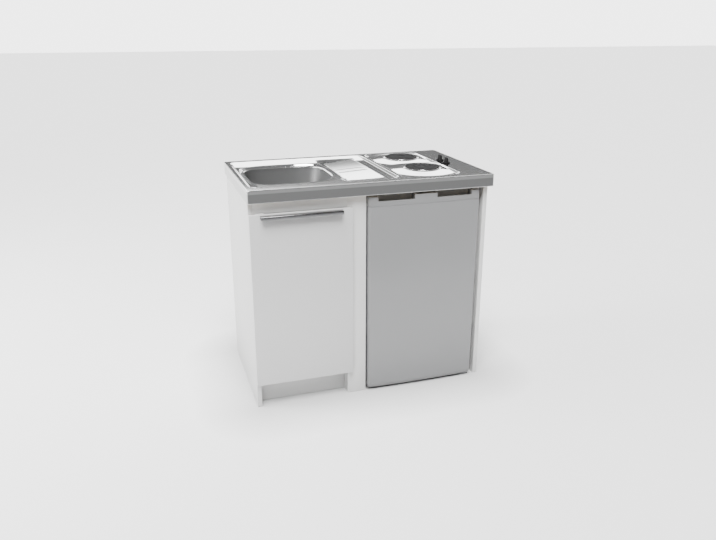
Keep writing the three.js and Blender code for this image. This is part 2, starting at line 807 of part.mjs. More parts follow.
function trapBottle() {
  const { body, bottleLength } = trap;
  const collar = body + clearance + drain.wall;
  const low = trapBodyEnd - bottleLength;
  return turned([
    [0, low],
    [body - 8, low],
    [body - 2, low + 6],
    [body - 2, trapBodyEnd - 8],
    [collar, trapBodyEnd - 4],
    [collar, trapBodyEnd + trap.collar],
    [collar - drain.wall, trapBodyEnd + trap.collar],
    [collar - drain.wall, trapBodyEnd - clearance],
    [body - 4, trapBodyEnd - 6],
    [body - 4, low + 7],
    [body - 9, low + 2],
    [0, low + 2],
  ]);
}

function wastePipe() {
  const start = trap.branchLength + clearance;
  const end = halfDepth - 1 - drainY;
  const tube = (radius, more) => alongY(rod(radius, [start - more, end + more], 24));
  const nut = alongY(rod(trap.nut, [start, start + trap.nutLength], 24));
  const pipe = cut(join(tube(drain.outlet, 0), nut), tube(drain.outlet - drain.wall, past));
  return pipe.translate([0, 0, branchZ]);
}

function drainPieces(parent) {
  const group = groupAt(parent, drainX, drainY, bowlFloor);
  add(group, "sink_strainer", strainer(), steel());
  add(group, "strainer_basket", strainerBasket(), steel());
  add(group, "trap_body", trapBody(), whitePlastic());
  add(group, "trap_bottle", trapBottle(), whitePlastic());
  add(group, "waste_pipe", wastePipe(), whitePlastic());
}

// Hob -------------------------------------------------------------------------------------------

// Heights of a plate's pieces are from the top of its boss.
function hotPlate() {
  const { radius, rise, skirt, grooves, grooveDepth, grooveWidth, hollow, hollowDepth } = plate;
  const seatTop = clearance + plateRing.wall + clearance;
  const inside = radius - plateRing.seat - 0.3;
  const grooveProfile = grooves.flatMap((r) => [
    [r, rise],
    [r + 0.6, rise - grooveDepth],
    [r + grooveWidth - 0.6, rise - grooveDepth],
    [r + grooveWidth, rise],
  ]);
  const nutTop = -skirt - bridge.thickness - 2 * clearance;
  return turned([
    [0, rise - hollowDepth],
    [hollow - 1, rise - hollowDepth],
    [hollow + 1, rise],
    ...grooveProfile,
    [radius - 1.5, rise],
    [radius, rise - 1.2],
    [radius, seatTop],
    [inside, seatTop],
    [inside, -skirt + 5],
    [inside - 8, -skirt + 2],
    [stud.radius, -skirt + 2],
    [stud.radius, nutTop],
    [stud.nut, nutTop],
    [stud.nut, nutTop - 5],
    [stud.radius, nutTop - 5],
    [stud.radius, nutTop - stud.length],
    [0, nutTop - stud.length],
  ]);
}

function overflowRing() {
  const { reach, seat, wall, bead, beadWidth } = plateRing;
  const low = clearance;
  const inside = plate.radius + 0.5;
  return turned([
    [plate.radius - seat, low],
    [plate.radius + reach, low],
    [plate.radius + reach, low + wall],
    [inside + beadWidth + 1.5, low + wall + 1],
    [inside + beadWidth, bead],
    [inside, bead],
    [inside, low + wall],
    [plate.radius - seat, low + wall],
    [plate.radius - seat, low],
  ]);
}

// A hat-shaped bar under the sheet, which the stud's nut pulls up against the rim of the hole.
function clampBridge() {
  const { width, thickness, bearing } = bridge;
  const holeEdge = plate.radius + plateRing.seat;
  const high = -worktop.sheet - clearance;
  const low = -plate.skirt;
  const shift = 0.6 * thickness; // keeps the bent legs as thick as the rest
  const upper = [
    [holeEdge + bearing, high],
    [holeEdge + 1, high],
    [holeEdge - 6, low],
  ];
  const lower = [
    [holeEdge - 6 + shift, low - thickness],
    [holeEdge + 1 + shift, high - thickness],
    [holeEdge + bearing, high - thickness],
  ];
  const mirrored = (points) => points.map(([x, z]) => [-x, z]).reverse();
  const profile = outline([...upper, ...mirrored(upper), ...mirrored(lower), ...lower]);
  const bar = prismY(profile, [-width / 2, width / 2]);
  return cut(bar, rod(stud.radius + clearance, [low - thickness - past, high], 20));
}

function hobTray() {
  const x = [hobX[0] + tray.marginLeft, halfWidth - tray.marginRight - batten.right + past];
  const y = [pressedY[0] + tray.marginY, pressedY[1] - tray.marginY];
  const top = recessZ - worktop.sheet - clearance;
  const low = unit.height - tray.floor;
  const shell = (inset, z0, z1) => {
    const span = ([a, b]) => [a + inset, b - inset];
    return prism(roundedOutline(span(x), span(y), 8, 3), [z0, z1]);
  };
  const flangeTop = shell(0, top - tray.wall, top);
  const pan = shell(tray.flange, low, top);
  return cut(join(flangeTop, pan), shell(tray.flange + tray.wall, low + tray.wall, top + past));
}

function rotarySwitchBody() {
  const { side, height, shaft, shaftRise, neck } = rotarySwitch;
  const top = -worktop.sheet - clearance;
  const span = [-side / 2, side / 2];
  const body = prism(roundedOutline(span, span, 4, 2), [top - height, top]);
  return join(body, rod(neck, [top - past, 0], 16), rod(shaft, [top - past, shaftRise], 16));
}

function wingedKnob() {
  const { radius, skirt, gripWidth, gripHeight, lift } = knob;
  const base = turned([
    [0, lift],
    [radius, lift],
    [radius, lift + skirt - 1.5],
    [radius - 3, lift + skirt],
    [0, lift + skirt],
  ]);
  const ring = (inset, z) => ({
    points: roundedOutline(
      [-gripWidth / 2 + inset, gripWidth / 2 - inset],
      [-radius + 1 + 2 * inset, radius - 1 - 2 * inset],
      gripWidth / 2 - inset - 0.5,
      3,
    ),
    z,
  });
  const grip = loft([
    ring(0, lift + skirt - 1),
    ring(0.6, lift + skirt + gripHeight * 0.6),
    ring(1.4, lift + skirt + gripHeight - 1.5),
    ring(2.6, lift + skirt + gripHeight),
  ]);
  const bore = rod(rotarySwitch.shaft + clearance, [lift - past, rotarySwitch.shaftRise + 1], 16);
  return cut(join(base, grip), bore);
}

function hobPieces(parent) {
  const group = groupAt(parent, 0, 0, 0);
  plateStations.forEach(([place, y]) => {
    const station = groupAt(group, plateX, y, bossZ);
    add(station, `hot_plate_${place}`, hotPlate(), castIron());
    add(station, `plate_ring_${place}`, overflowRing(), steel());
    add(station, `plate_bridge_${place}`, clampBridge(), zinc());
  });
  knobStations.forEach(([place, y]) => {
    const station = groupAt(group, knobX, y, unit.height);
    add(station, `hob_switch_${place}`, rotarySwitchBody(), blackPlastic());
    add(station, `hob_knob_${place}`, wingedKnob(), blackPlastic());
  });
  add(group, "hob_tray", hobTray(), zinc());
}

// Refrigerator ----------------------------------------------------------------------------------

// In its group X = 0 is its middle, Y = 0 its foremost point and Z = 0 the floor.
const half = fridge.width / 2;
const bodyFront = fridge.doorDepth + fridge.joint + fridge.gasketDepth + clearance;
const cavityHalf = half - fridge.wall;
const cavityZ = [fridge.bodyBottom + fridge.wall, fridge.bodyTop - fridge.wall];
const cavityBack = fridge.depth - fridge.backWall;
const pocketTop = fridge.bodyBottom + fridge.pocketHeight;
const stepTop = pocketTop + fridge.backWall;
const stepFront = fridge.depth - fridge.pocketDepth - fridge.backWall;
const hingeX = half - doorHinge.fromSide;
const hingeY = doorHinge.fromFront;
const feetX = half - foot.inset;
const linerBack = fridge.doorDepth + fridge.joint + liner.sheet;

// Plan of the door: square at the back, rounded at the front corners, and crowned between them.
function doorPlan(inset) {
  const corner = fridge.doorCorner;
  const side = half - inset;
  const front = fridge.crown + inset;
  const shape = new THREE.Shape();
  shape.moveTo(-side, fridge.doorDepth);
  shape.lineTo(-side, front + corner);
  shape.absarc(-side + corner, front + corner, corner, Math.PI, 1.5 * Math.PI);
  shape.quadraticCurveTo(0, inset - fridge.crown, side - corner, front);
  shape.absarc(side - corner, front + corner, corner, -0.5 * Math.PI, 0);
  shape.lineTo(side, fridge.doorDepth);
  return shape.getPoints(8);
}

const doorSlice = (z0, z1) => loft([{ points: doorPlan(0), z: z0 }, { points: doorPlan(0), z: z1 }]);
const hingeBore = ([z0, z1]) => rod(doorHinge.hole, [z0, z1], 20).translate([hingeX, hingeY, 0]);

function fridgeDoorPanel() {
  const z = [
    fridge.doorBottom + fridge.capHeight + fridge.joint,
    fridge.doorTop - fridge.gripHeight - fridge.joint,
  ];
  return cut(doorSlice(...z), hingeBore([z[0] - past, z[0] + 8]));
}

// Each grip is a notch in the front with a trough behind its lip, where fingers hook in.
function gripStrip() {
  const low = fridge.doorTop - fridge.gripHeight;
  const body = loft([
    { points: doorPlan(0), z: low },
    { points: doorPlan(0), z: fridge.doorTop - 3 },
    { points: doorPlan(1), z: fridge.doorTop - 0.9 },
    { points: doorPlan(3), z: fridge.doorTop },
  ]);
  const high = fridge.doorTop + past;
  const notchFloor = fridge.doorTop - grip.depth;
  const lipBack = fridge.crown + grip.lip;
  const profile = outline([
    [-past, notchFloor],
    [lipBack, notchFloor],
    [lipBack + 1.5, notchFloor - grip.trough + 3],
    [lipBack + 5, notchFloor - grip.trough],
    [lipBack + grip.reach - 6, notchFloor - grip.trough],
    [lipBack + grip.reach, notchFloor - grip.trough + 8],
    [lipBack + grip.reach, high],
    [-past, high],
  ]);
  const sides = [-0.5, 0.5].map((side) =>
    prismX(profile, [side * grip.spacing - grip.width / 2, side * grip.spacing + grip.width / 2]),
  );
  return cut(body, ...sides, hingeBore([low + 20, high]));
}

function bottomCap() {
  const low = fridge.doorBottom;
  const body = loft([
    { points: doorPlan(6), z: low },
    { points: doorPlan(0), z: low + fridge.capHeight - 2 },
    { points: doorPlan(0), z: low + fridge.capHeight },
  ]);
  return cut(body, hingeBore([low - past, low + fridge.capHeight + past]));
}

const gasketHalf = half - gasket.inset;
const gasketZ = [
  cavityZ[0] - (gasketHalf - cavityHalf),
  cavityZ[1] + (gasketHalf - cavityHalf),
];

function doorGasket() {
  const y = [linerBack + clearance, linerBack + clearance + gasket.depth];
  const frame = (inset) => {
    const x = [-gasketHalf + inset, gasketHalf - inset];
    return roundedOutline(x, [gasketZ[0] + inset, gasketZ[1] - inset], 6, 2);
  };
  return cut(prismY(frame(0), y), prismY(frame(gasket.width), [y[0] - past, y[1] + past]));
}

// The inner door: a thin formed plate with two hollow upright dykes, and lugs for the racks.
function doorLiner() {
  const y = [fridge.doorDepth + fridge.joint, linerBack];
  const z = [cavityZ[0] + liner.dykeMargin / 2, cavityZ[1] - liner.dykeMargin / 2];
  const reach = gasketHalf + liner.edge;
  const height = [gasketZ[0] - liner.edge, gasketZ[1] + liner.edge];
  const sheet = prismY(roundedOutline([-reach, reach], height, 8, 2), y);
  const dykeMiddle = half - liner.dykeInset - liner.dyke / 2;
  const dyke = (middle, wall) => {
    const ring = (draft, depth) => ({
      points: roundedOutline(
        [middle - liner.dyke / 2 + wall + draft, middle + liner.dyke / 2 - wall - draft],
        [z[0] + wall + draft, z[1] - wall - draft],
        5 - wall,
        2,
      ),
      z: depth,
    });
    const start = wall ? y[0] - past : y[0];
    const body = loft([ring(0, start), ring(liner.draft, y[1] + liner.dykeDepth - wall)]);
    return standInXZ(body).mirror([0, 1, 0]);
  };
  const sides = [-dykeMiddle, dykeMiddle];
  const lugs = sides.flatMap((middle) =>
    [upperRack.z, lowerRack.z].map((base) => {
      const face = middle - Math.sign(middle) * (liner.dyke / 2 - 1);
      const tip = face - Math.sign(middle) * (rack.lug + 1 + liner.draft);
      const x = [Math.min(face, tip), Math.max(face, tip)];
      return block(x, [y[1] - 1, y[1] + 24], [base - clearance - rack.lugHeight, base - clearance]);
    }),
  );
  const skins = sides.map((middle) => dyke(middle, 0));
  const hollows = sides.map((middle) => dyke(middle, liner.sheet));
  return cut(join(sheet, ...skins, ...lugs), ...hollows);
}

function doorRack({ z, height, depth }) {
  const side = half - liner.dykeInset - liner.dyke - clearance;
  const y0 = linerBack + rack.fromLiner;
  const ring = (inset, level) => ({
    points: roundedOutline(
      [-side + inset, side - inset],
      [y0 + inset, y0 + depth - inset - (z + height - level) * 0.06],
      5 - inset,
      2,
    ),
    z: level,
  });
  const body = loft([ring(0, z), ring(0, z + height)]);
  const hollow = loft([ring(rack.wall, z + rack.wall), ring(rack.wall, z + height + 0.1)]);
  return cut(body, hollow);
}

function fridgeBody() {
  const { depth, bodyBottom, bodyTop } = fridge;
  const pocketFront = depth - fridge.pocketDepth;
  const side = outline([
    [bodyFront, bodyBottom],
    [depth, bodyBottom],
    [depth, bodyBottom + fridge.pocketFloor],
    [pocketFront, bodyBottom + fridge.pocketFloor],
    [pocketFront, pocketTop],
    [depth, pocketTop],
    [depth, bodyTop - 4],
    [depth - 4, bodyTop],
    [bodyFront, bodyTop],
  ]);
  const cavity = outline([
    [bodyFront - past, cavityZ[0]],
    [stepFront, cavityZ[0]],
    [stepFront, stepTop],
    [cavityBack, stepTop],
    [cavityBack, cavityZ[1]],
    [bodyFront - past, cavityZ[1]],
  ]);
  const shell = cut(prismX(side, [-half, half]), prismX(cavity, [-cavityHalf, cavityHalf]));
  const ribs = [-1, 1].flatMap((way) => {
    const x = [way * (cavityHalf + 1), way * (cavityHalf - shelf.rib)].sort((a, b) => a - b);
    const rib = (top, end) =>
      block(x, [bodyFront + shelf.front, end], [top - shelf.ribHeight, top]);
    return [rib(shelf.z - clearance, cavityBack + 1), rib(stepTop, stepFront + 1)];
  });
  const rearFeet = [-1, 1].map((way) =>
    rod(foot.disc, [0, bodyBottom + 1], 20).translate([way * feetX, depth - foot.back, 0]),
  );
  const stemHoles = [-1, 1].map((way) =>
    rod(foot.stem + clearance, [bodyBottom - past, bodyBottom + 20], 16).translate([
      way * feetX,
      bodyFront + foot.back,
      0,
    ]),
  );
  return cut(join(shell, ...ribs, ...rearFeet), ...stemHoles);
}

function levellingFoot() {
  const { disc, discHeight, stem, collar } = foot;
  const under = fridge.bodyBottom - clearance;
  return turned(
    [
      [0, 0],
      [disc, 0],
      [disc, discHeight - 2],
      [disc - 3, discHeight],
      [stem, discHeight],
      [stem, under - 7],
      [collar, under - 7],
      [collar, under],
      [stem, under],
      [stem, fridge.bodyBottom + 16],
      [0, fridge.bodyBottom + 16],
    ],
    20,
  );
}

// A strap that is joggled from the body's face to the door's end, with its pin.
function hingeStrap(bodyFace, doorEnd, way) {
  const t = doorHinge.thickness;
  const near = bodyFace + way * clearance;
  const far = doorEnd + way * (clearance + 0.3);
  const rear = bodyFront + 55;
  const bend = bodyFront + 6;
  const profile = outline([
    [rear, near],
    [bend, near],
    [bend - 7, far],
    [hingeY - 9, far],
    [hingeY - 9, far + way * t],
    [bend - 6, far + way * t],
    [bend + 1, near + way * t],
    [rear, near + way * t],
  ]);
  const points = way > 0 ? profile : profile.reverse();
  const strap = prismX(points, [half - 2 - doorHinge.strap, half - 2]);
  const tip = doorEnd - way * 16;
  const pinZ = [Math.min(tip, far + way), Math.max(tip, far + way)];
  return join(strap, rod(doorHinge.pin, pinZ, 20).translate([hingeX, hingeY, 0]));
}

function glassShelf(z, back) {
  const side = cavityHalf - 1;
  const points = roundedOutline([-side, side], [bodyFront + shelf.front, back], 3, 2);
  return prism(points, [z, z + shelf.thickness]);
}

function crisperBin() {
  const { height, wall, draft, front, sideGap, backGap } = crisper;
  const x = cavityHalf - sideGap;
  const y = [bodyFront + front, stepFront - backGap];
  const z0 = cavityZ[0] + clearance;
  const ring = (inset, z) => ({
    points: roundedOutline([-x + inset, x - inset], [y[0] + inset, y[1] - inset], 10, 3),
    z,
  });
  const body = loft([ring(draft, z0), ring(0, z0 + height)]);
  const hollow = loft([ring(draft + wall, z0 + wall), ring(wall, z0 + height + 0.1)]);
  const lip = block([-70, 70], [y[0] - 9, y[0] + 1], [z0 + height - 5, z0 + height]);
  return cut(join(body, lip), hollow);
}

const freezerX = cavityHalf - freezer.sideGap;
const freezerY = [bodyFront + freezer.front, cavityBack - freezer.back];
const freezerZ = [cavityZ[1] - clearance - freezer.height, cavityZ[1] - clearance];
const flapAxis = [freezerY[0] - 4, freezerZ[1] - 8];

// An open-fronted box under the ceiling of the cavity, with two ears that hold the flap's pins.
function freezerBox() {
  const { wall, pin } = freezer;
  const body = block([-freezerX, freezerX], freezerY, freezerZ);
  const hollow = block(
    [-freezerX + wall, freezerX - wall],
    [freezerY[0] - past, freezerY[1] - wall],
    [freezerZ[0] + wall, freezerZ[1] - wall],
  );
  const ears = [-1, 1].map((way) => {
    const x = [way * freezerX, way * (freezerX - wall)].sort((a, b) => a - b);
    return block(x, [flapAxis[0] - 5, freezerY[0] + 1], [flapAxis[1] - 6, freezerZ[1]]);
  });
  const bore = alongX(rod(pin + 0.3, [-freezerX - past, freezerX + past], 16));
  return cut(join(cut(body, hollow), ...ears), bore.translate([0, ...flapAxis]));
}

function freezerFlap() {
  const { wall, flap, pin } = freezer;
  const x = freezerX - wall - 0.6;
  const y = [flapAxis[0] - flap / 2, flapAxis[0] + flap / 2];
  const sheet = block([-x, x], y, [freezerZ[0] + 1, flapAxis[1]]);
  const lip = block([-60, 60], [y[0] - 7, y[0] + 1], [freezerZ[0] + 1, freezerZ[0] + 4]);
  const barrel = alongX(rod(pin, [-x - wall, x + wall], 16)).translate([0, ...flapAxis]);
  return join(sheet, lip, barrel);
}

const dialAt = [
  cavityHalf - clearance - thermostat.depth,
  bodyFront + thermostat.fromFront + thermostat.length / 2,
  thermostat.z + thermostat.height / 2,
];

function thermostatHousing() {
  const { length, height, fromFront, z } = thermostat;
  const y0 = bodyFront + fromFront;
  const ring = (inset, depth) => ({
    points: roundedOutline([y0 + inset, y0 + length - inset], [z + inset, z + height - inset], 8, 3),
    z: depth,
  });
  const body = loft([ring(5, dialAt[0]), ring(0, dialAt[0] + 8), ring(0, cavityHalf - clearance)]);
  const spindle = alongX(rod(thermostat.spindle, [-10, 2], 16)).translate(dialAt);
  return join(standInYZ(body), spindle);
}

function thermostatDial() {
  const { dial } = thermostat;
  const rim = turned(
    [[0, clearance], [dial, clearance], [dial, 6], [dial - 2, 8], [0, 8]],
    24,
  );
  const bar = block([-2.5, 2.5], [-dial + 2, dial - 2], [7, 13]);
  const bore = rod(thermostat.spindle + clearance, [clearance - past, 10 + clearance], 16);
  return cut(join(rim, bar), bore).rotate([0, -90, 0]).translate(dialAt);
}

function compressorPot() {
  const { radius, height, offset } = compressor;
  const floor = fridge.bodyBottom + fridge.pocketFloor + clearance;
  const y = fridge.depth - fridge.pocketDepth / 2;
  const base = floor + compressor.foot;
  const pot = turned(
    [
      [0, base],
      [radius * 0.8, base],
      [radius, base + 22],
      [radius, base + height * 0.45],
      [radius + 3, base + height * 0.47],
      [radius + 3, base + height * 0.51],
      [radius, base + height * 0.53],
      [radius, base + height * 0.75],
      [radius * 0.8, base + height * 0.94],
      [radius * 0.4, base + height],
      [0, base + height],
    ],
    24,
  );
  const base4 = block([-58, 58], [-40, 40], [base - 1, base + 3]);
  const grommets = [-1, 1].flatMap((a) =>
    [-1, 1].map((b) => rod(7, [floor, base], 12).translate([a * 48, b * 30, 0])),
  );
  return join(pot, base4, ...grommets).translate([offset, y, 0]);
}

// A serpentine tube carried on four upright straps that stand off the back of the body.
function condenserGrid() {
  const { tube, rows, pitch, width, bottom, standoff, strap } = condenser;
  const y = fridge.depth + standoff;
  const bend = pitch / 2;
  const path = [];
  for (let row = 0; row < rows; row++) {
    const z = bottom + row * pitch;
    const way = row % 2 ? -1 : 1;
    const reach = width / 2 - bend;
    path.push([-way * reach, z], [way * reach, z]);
    if (row === rows - 1) break;
    for (let step = 1; step < 5; step++) {
      const angle = (step / 5) * Math.PI;
      path.push([way * (reach + bend * Math.sin(angle)), z + bend - bend * Math.cos(angle)]);
    }
  }
  const low = bottom - 8;
  const high = bottom + (rows - 1) * pitch + 8;
  const front = y - tube;
  const straps = [-1.5, -0.5, 0.5, 1.5].map((place) => {
    const x = (place * (width - pitch)) / 4;
    const across = [x - strap / 2, x + strap / 2];
    const upright = block(across, [front - 0.8, front + 0.8], [low, high]);
    const legs = [low, high - 2].map((z) => block(across, [fridge.depth + clearance, front], [z, z + 2]));
    return join(upright, ...legs);
  });
  return join(uprightBar(path, y, tube), ...straps);
}

function fridgePieces(parent) {
  const group = groupAt(parent, fridgeMiddle, fridgeFront, 0);
  add(group, "fridge_body", fridgeBody(), whitePlastic());
  add(group, "fridge_door_panel", fridgeDoorPanel(), greyDoor());
  add(group, "fridge_grip_strip", gripStrip(), greyDoor());
  add(group, "fridge_bottom_cap", bottomCap(), greyDoor());
  add(group, "fridge_door_liner", doorLiner(), whitePlastic());
  add(group, "fridge_door_gasket", doorGasket(), look(0x9a9b9b, 0.8));
  add(group, "door_rack_upper", doorRack(upperRack), whitePlastic());
  add(group, "door_rack_lower", doorRack(lowerRack), whitePlastic());
  add(group, "fridge_hinge_top", hingeStrap(fridge.bodyTop, fridge.doorTop, 1), zinc());
  add(group, "fridge_hinge_bottom", hingeStrap(fridge.bodyBottom, fridge.doorBottom, -1), zinc());
  add(group, "glass_shelf", glassShelf(shelf.z, cavityBack - 4), look(0xcfdad8, 0.1));
  add(group, "crisper_cover", glassShelf(stepTop + clearance, cavityBack - 4), look(0xcfdad8, 0.1));
  add(group, "crisper", crisperBin(), whitePlastic());
  add(group, "freezer_box", freezerBox(), look(0xc4c8ca, 0.35, 0.8));
  add(group, "freezer_flap", freezerFlap(), whitePlastic());
  add(group, "thermostat_housing", thermostatHousing(), whitePlastic());
  add(group, "thermostat_dial", thermostatDial(), look(0xd0d1d0, 0.5));
  add(group, "compressor", compressorPot(), blackPlastic());
  add(group, "condenser", condenserGrid(), blackPlastic());
  [["left", -1], ["right", 1]].forEach(([side, way]) => {
    const station = groupAt(group, way * feetX, bodyFront + foot.back, 0);
    add(station, `fridge_foot_${side}`, levellingFoot(), blackPlastic());
  });
}

// Assembly --------------------------------------------------------------------------------------

const kitchenette = new THREE.Group();
const foremost = doorBack - door.board - clearance - handle.depth;
const assembly = groupAt(kitchenette, 0, -(foremost + halfDepth) / 2, 0);
worktopPieces(assembly);
carcasePieces(assembly);
doorPieces(assembly);
drainPieces(assembly);
hobPieces(assembly);
fridgePieces(assembly);

export default kitchenette;
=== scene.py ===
import json
import math

import bmesh
import bpy
from mathutils import Matrix, Vector


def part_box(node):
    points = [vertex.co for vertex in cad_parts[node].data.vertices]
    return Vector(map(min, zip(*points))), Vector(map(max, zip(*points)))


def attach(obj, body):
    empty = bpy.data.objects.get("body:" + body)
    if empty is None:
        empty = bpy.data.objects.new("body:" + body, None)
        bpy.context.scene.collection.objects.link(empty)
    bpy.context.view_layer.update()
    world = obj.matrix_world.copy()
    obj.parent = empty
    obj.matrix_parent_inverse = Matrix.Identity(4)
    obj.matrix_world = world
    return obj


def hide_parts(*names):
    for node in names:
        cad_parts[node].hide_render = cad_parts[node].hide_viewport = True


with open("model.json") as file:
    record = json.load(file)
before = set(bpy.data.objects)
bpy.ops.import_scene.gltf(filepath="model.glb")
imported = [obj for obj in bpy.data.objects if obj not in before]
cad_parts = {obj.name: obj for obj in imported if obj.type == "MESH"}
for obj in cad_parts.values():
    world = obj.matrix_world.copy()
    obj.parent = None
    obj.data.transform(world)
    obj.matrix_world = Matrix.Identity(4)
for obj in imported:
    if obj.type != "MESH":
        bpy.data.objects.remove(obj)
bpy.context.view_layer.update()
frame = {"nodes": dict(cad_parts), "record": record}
shiftY = 9.15  # the unit is drawn round the middle of its worktop, in millimetres


# camera

view = dict(lens=35.0, sensor=36.0, place=(-0.8786, -2.7537, 1.4681), pitch=19.458, turn=18.008)
cameraData = bpy.data.cameras.new("camera")
cameraData.lens = view["lens"]
cameraData.sensor_width = view["sensor"]
camera = bpy.data.objects.new("camera", cameraData)
camera.location = view["place"]
camera.rotation_euler = (math.radians(90 - view["pitch"]), 0, -math.radians(view["turn"]))
bpy.context.scene.collection.objects.link(camera)
bpy.context.scene.camera = camera


# materials


class Wire:  # one socket, so that shader sums read as sums
    def __init__(self, shade, socket):
        self.shade = shade
        self.socket = socket

    def sum(self, kind, *others):
        return self.shade.node("ShaderNodeMath", self, *others, operation=kind)

    def __add__(self, other):
        return self.sum("ADD", other)

    def __radd__(self, other):
        return self.sum("ADD", other)

    def __sub__(self, other):
        return self.sum("SUBTRACT", other)

    def __rsub__(self, other):
        return self.shade.node("ShaderNodeMath", other, self, operation="SUBTRACT")

    def __mul__(self, other):
        return self.sum("MULTIPLY", other)

    def __rmul__(self, other):
        return self.sum("MULTIPLY", other)

    def fit(self, low, high, start=0.0, end=1.0):
        return self.shade.node("ShaderNodeMapRange", self, low, high, start, end)


class Shade:  # a node tree that is built up by expressions
    def __init__(self, tree):
        self.tree = tree

    def node(self, kind, *inputs, out=0, named=None, **settings):
        made = self.tree.nodes.new(kind)
        for key, value in settings.items():
            setattr(made, key, value)
        pairs = list(zip(made.inputs, inputs)) + [(made.inputs[k], v) for k, v in (named or {}).items()]
        for socket, value in pairs:
            if isinstance(value, Wire):
                self.tree.links.new(value.socket, socket)
            elif value is not None:
                socket.default_value = value
        return Wire(self, made.outputs[out])

    def mix(self, factor, first, second):
        made = self.node("ShaderNodeMix", named={"Factor": factor}, data_type="RGBA", out=2)
        for socket, value in zip(made.socket.node.inputs[6:8], (first, second)):
            if isinstance(value, Wire):
                self.tree.links.new(value.socket, socket)
            else:
                socket.default_value = (*value, 1)
        return made

    def apart(self, vector, axis):
        return self.node("ShaderNodeSeparateXYZ", vector, out=axis)


class Paint(Shade):  # a material round its principled shader
    def __init__(self, name, **settings):
        self.material = bpy.data.materials.new(name)
        self.material.use_nodes = True
        super().__init__(self.material.node_tree)
        self.shader = self.tree.nodes["Principled BSDF"]
        for key, value in settings.items():
            self.shader.inputs[key.replace("_", " ")].default_value = value
        self.place = self.node("ShaderNodeTexCoord", out="Object")

    def stretch(self, factors):
        return self.node("ShaderNodeVectorMath", self.place, factors, operation="MULTIPLY")

    def noise(self, scale, detail=2.0, rough=0.5, place=None, warp=0.0):
        named = dict(Vector=place or self.place, Scale=scale, Detail=detail, Roughness=rough, Distortion=warp)
        return self.node("ShaderNodeTexNoise", named=named)

    def cells(self, scale, place=None):
        named = dict(Vector=place or self.place, Scale=scale)
        colour = self.node("ShaderNodeTexVoronoi", named=named, out="Color")
        return self.node("ShaderNodeSeparateColor", colour)

    def feed(self, name, wire):
        self.tree.links.new(wire.socket, self.shader.inputs[name])

    def bump(self, height, depth):
        named = dict(Height=height, Strength=1.0, Distance=depth)
        self.feed("Normal", self.node("ShaderNodeBump", named=named))
        return self.material


def scaled(tone, factor):
    return tuple(min(1.0, c * factor) for c in tone)


basin = dict(  # where the bowl's dull finish and its painted shade fade in, in metres, and what they do
    level=(0.8869, 0.884),
    left=(-0.48, -0.47),
    right=(-0.06, -0.07),
    front=(-0.25, -0.22),
    back=(0.22, 0.21),
    # painted shade: the bowl walls take this share of the steel's tone
    bowlShadeTone=0.33,
    # painted shade: the apron sides below the top take this share of the steel's tone
    apronShadeTone=0.6,
    rough=0.42,
)


def pressedSteel(name, tone, rough, along=(3, 90, 90), depth=0.000012, satin=0.0):
    paint = Paint(name, Metallic=1.0)
    cloud = paint.noise(2.6, 3, 0.6, warp=0.4)
    grain = paint.noise(14, 4, 0.7, place=paint.stretch(along))
    fine = paint.noise(900, 2)
    dried = paint.noise(34, 5, 0.65, warp=1.2).fit(0.6, 0.72)  # faint rings of dried water
    bright = paint.mix(cloud.fit(0.3, 0.7), scaled(tone, 0.97), scaled(tone, 1.03))
    x, y, z = (paint.apart(paint.place, axis) for axis in "XYZ")
    low = z.fit(*basin["level"])
    within = x.fit(*basin["left"]) * x.fit(*basin["right"]) * y.fit(*basin["front"]) * y.fit(*basin["back"])
    # painted shade: inside the bowl and down the apron, the steel's base colour is a darker copy of its own
    # tone
    shadedSteel = paint.mix(within, scaled(tone, basin["apronShadeTone"]), scaled(tone, basin["bowlShadeTone"]))
    paint.feed("Base Color", paint.mix(low * satin, bright, shadedSteel))
    streaks = (cloud - 0.5) * 0.02 + (grain - 0.5) * 0.03 + dried * 0.02
    paint.feed("Roughness", rough + streaks + low * within * satin * basin["rough"])
    return paint.bump(grain * 0.6 + fine * 0.4, depth)


def melamine(name, tone, rough=0.4):
    paint = Paint(name, Specular_IOR_Level=0.45)
    pearl = paint.noise(700, 3, 0.6)
    cloud = paint.noise(2.4, 3, 0.6)
    height = paint.apart(paint.place, "Z")
    scuff = paint.noise(60, 5, 0.7, place=paint.stretch((1, 1, 3))).fit(0.62, 0.75) * height.fit(0.05, 0.0)
    clean = paint.mix(cloud.fit(0.3, 0.7), scaled(tone, 0.985), tone)
    paint.feed("Base Color", paint.mix(scuff * 0.35, clean, (0.42, 0.4, 0.37)))
    paint.feed("Roughness", rough + (cloud - 0.5) * 0.06 + (pearl - 0.5) * 0.1)
    return paint.bump(pearl, 0.00005)


def chipboard(name):
    paint = Paint(name)
    chips = paint.cells(260, place=paint.stretch((1, 1, 2.2)))
    broad = paint.noise(30, 4, 0.7)
    paint.feed("Base Color", paint.mix(chips * 0.7 + broad * 0.3, (0.42, 0.32, 0.2), (0.7, 0.58, 0.42)))
    paint.feed("Roughness", 0.75 + (broad - 0.5) * 0.2)
    return paint.bump(chips, 0.0003)


def castIron(name, centres):
    paint = Paint(name, Specular_IOR_Level=0.1)
    level = paint.stretch((1, 1, 0))

    def reach(x, y):
        return paint.node("ShaderNodeVectorMath", level, (x, y, 0), operation="DISTANCE", out="Value")

    radius = reach(*centres[0]).sum("MINIMUM", reach(*centres[1]))
    turned = (radius * 7000).sum("SINE")  # the lathe's fine rings
    grit = paint.noise(1100, 3, 0.7)
    heat = radius.fit(0.03, 0.068) * paint.noise(20, 3, 0.6).fit(0.35, 0.75)
    paint.feed("Base Color", paint.mix(heat * 0.6, (0.013, 0.013, 0.0135), (0.022, 0.02, 0.019)))
    paint.feed("Roughness", 0.8 + (grit - 0.5) * 0.25 + turned * 0.03)
    return paint.bump(grit * 0.6 + turned * 0.12, 0.0001)


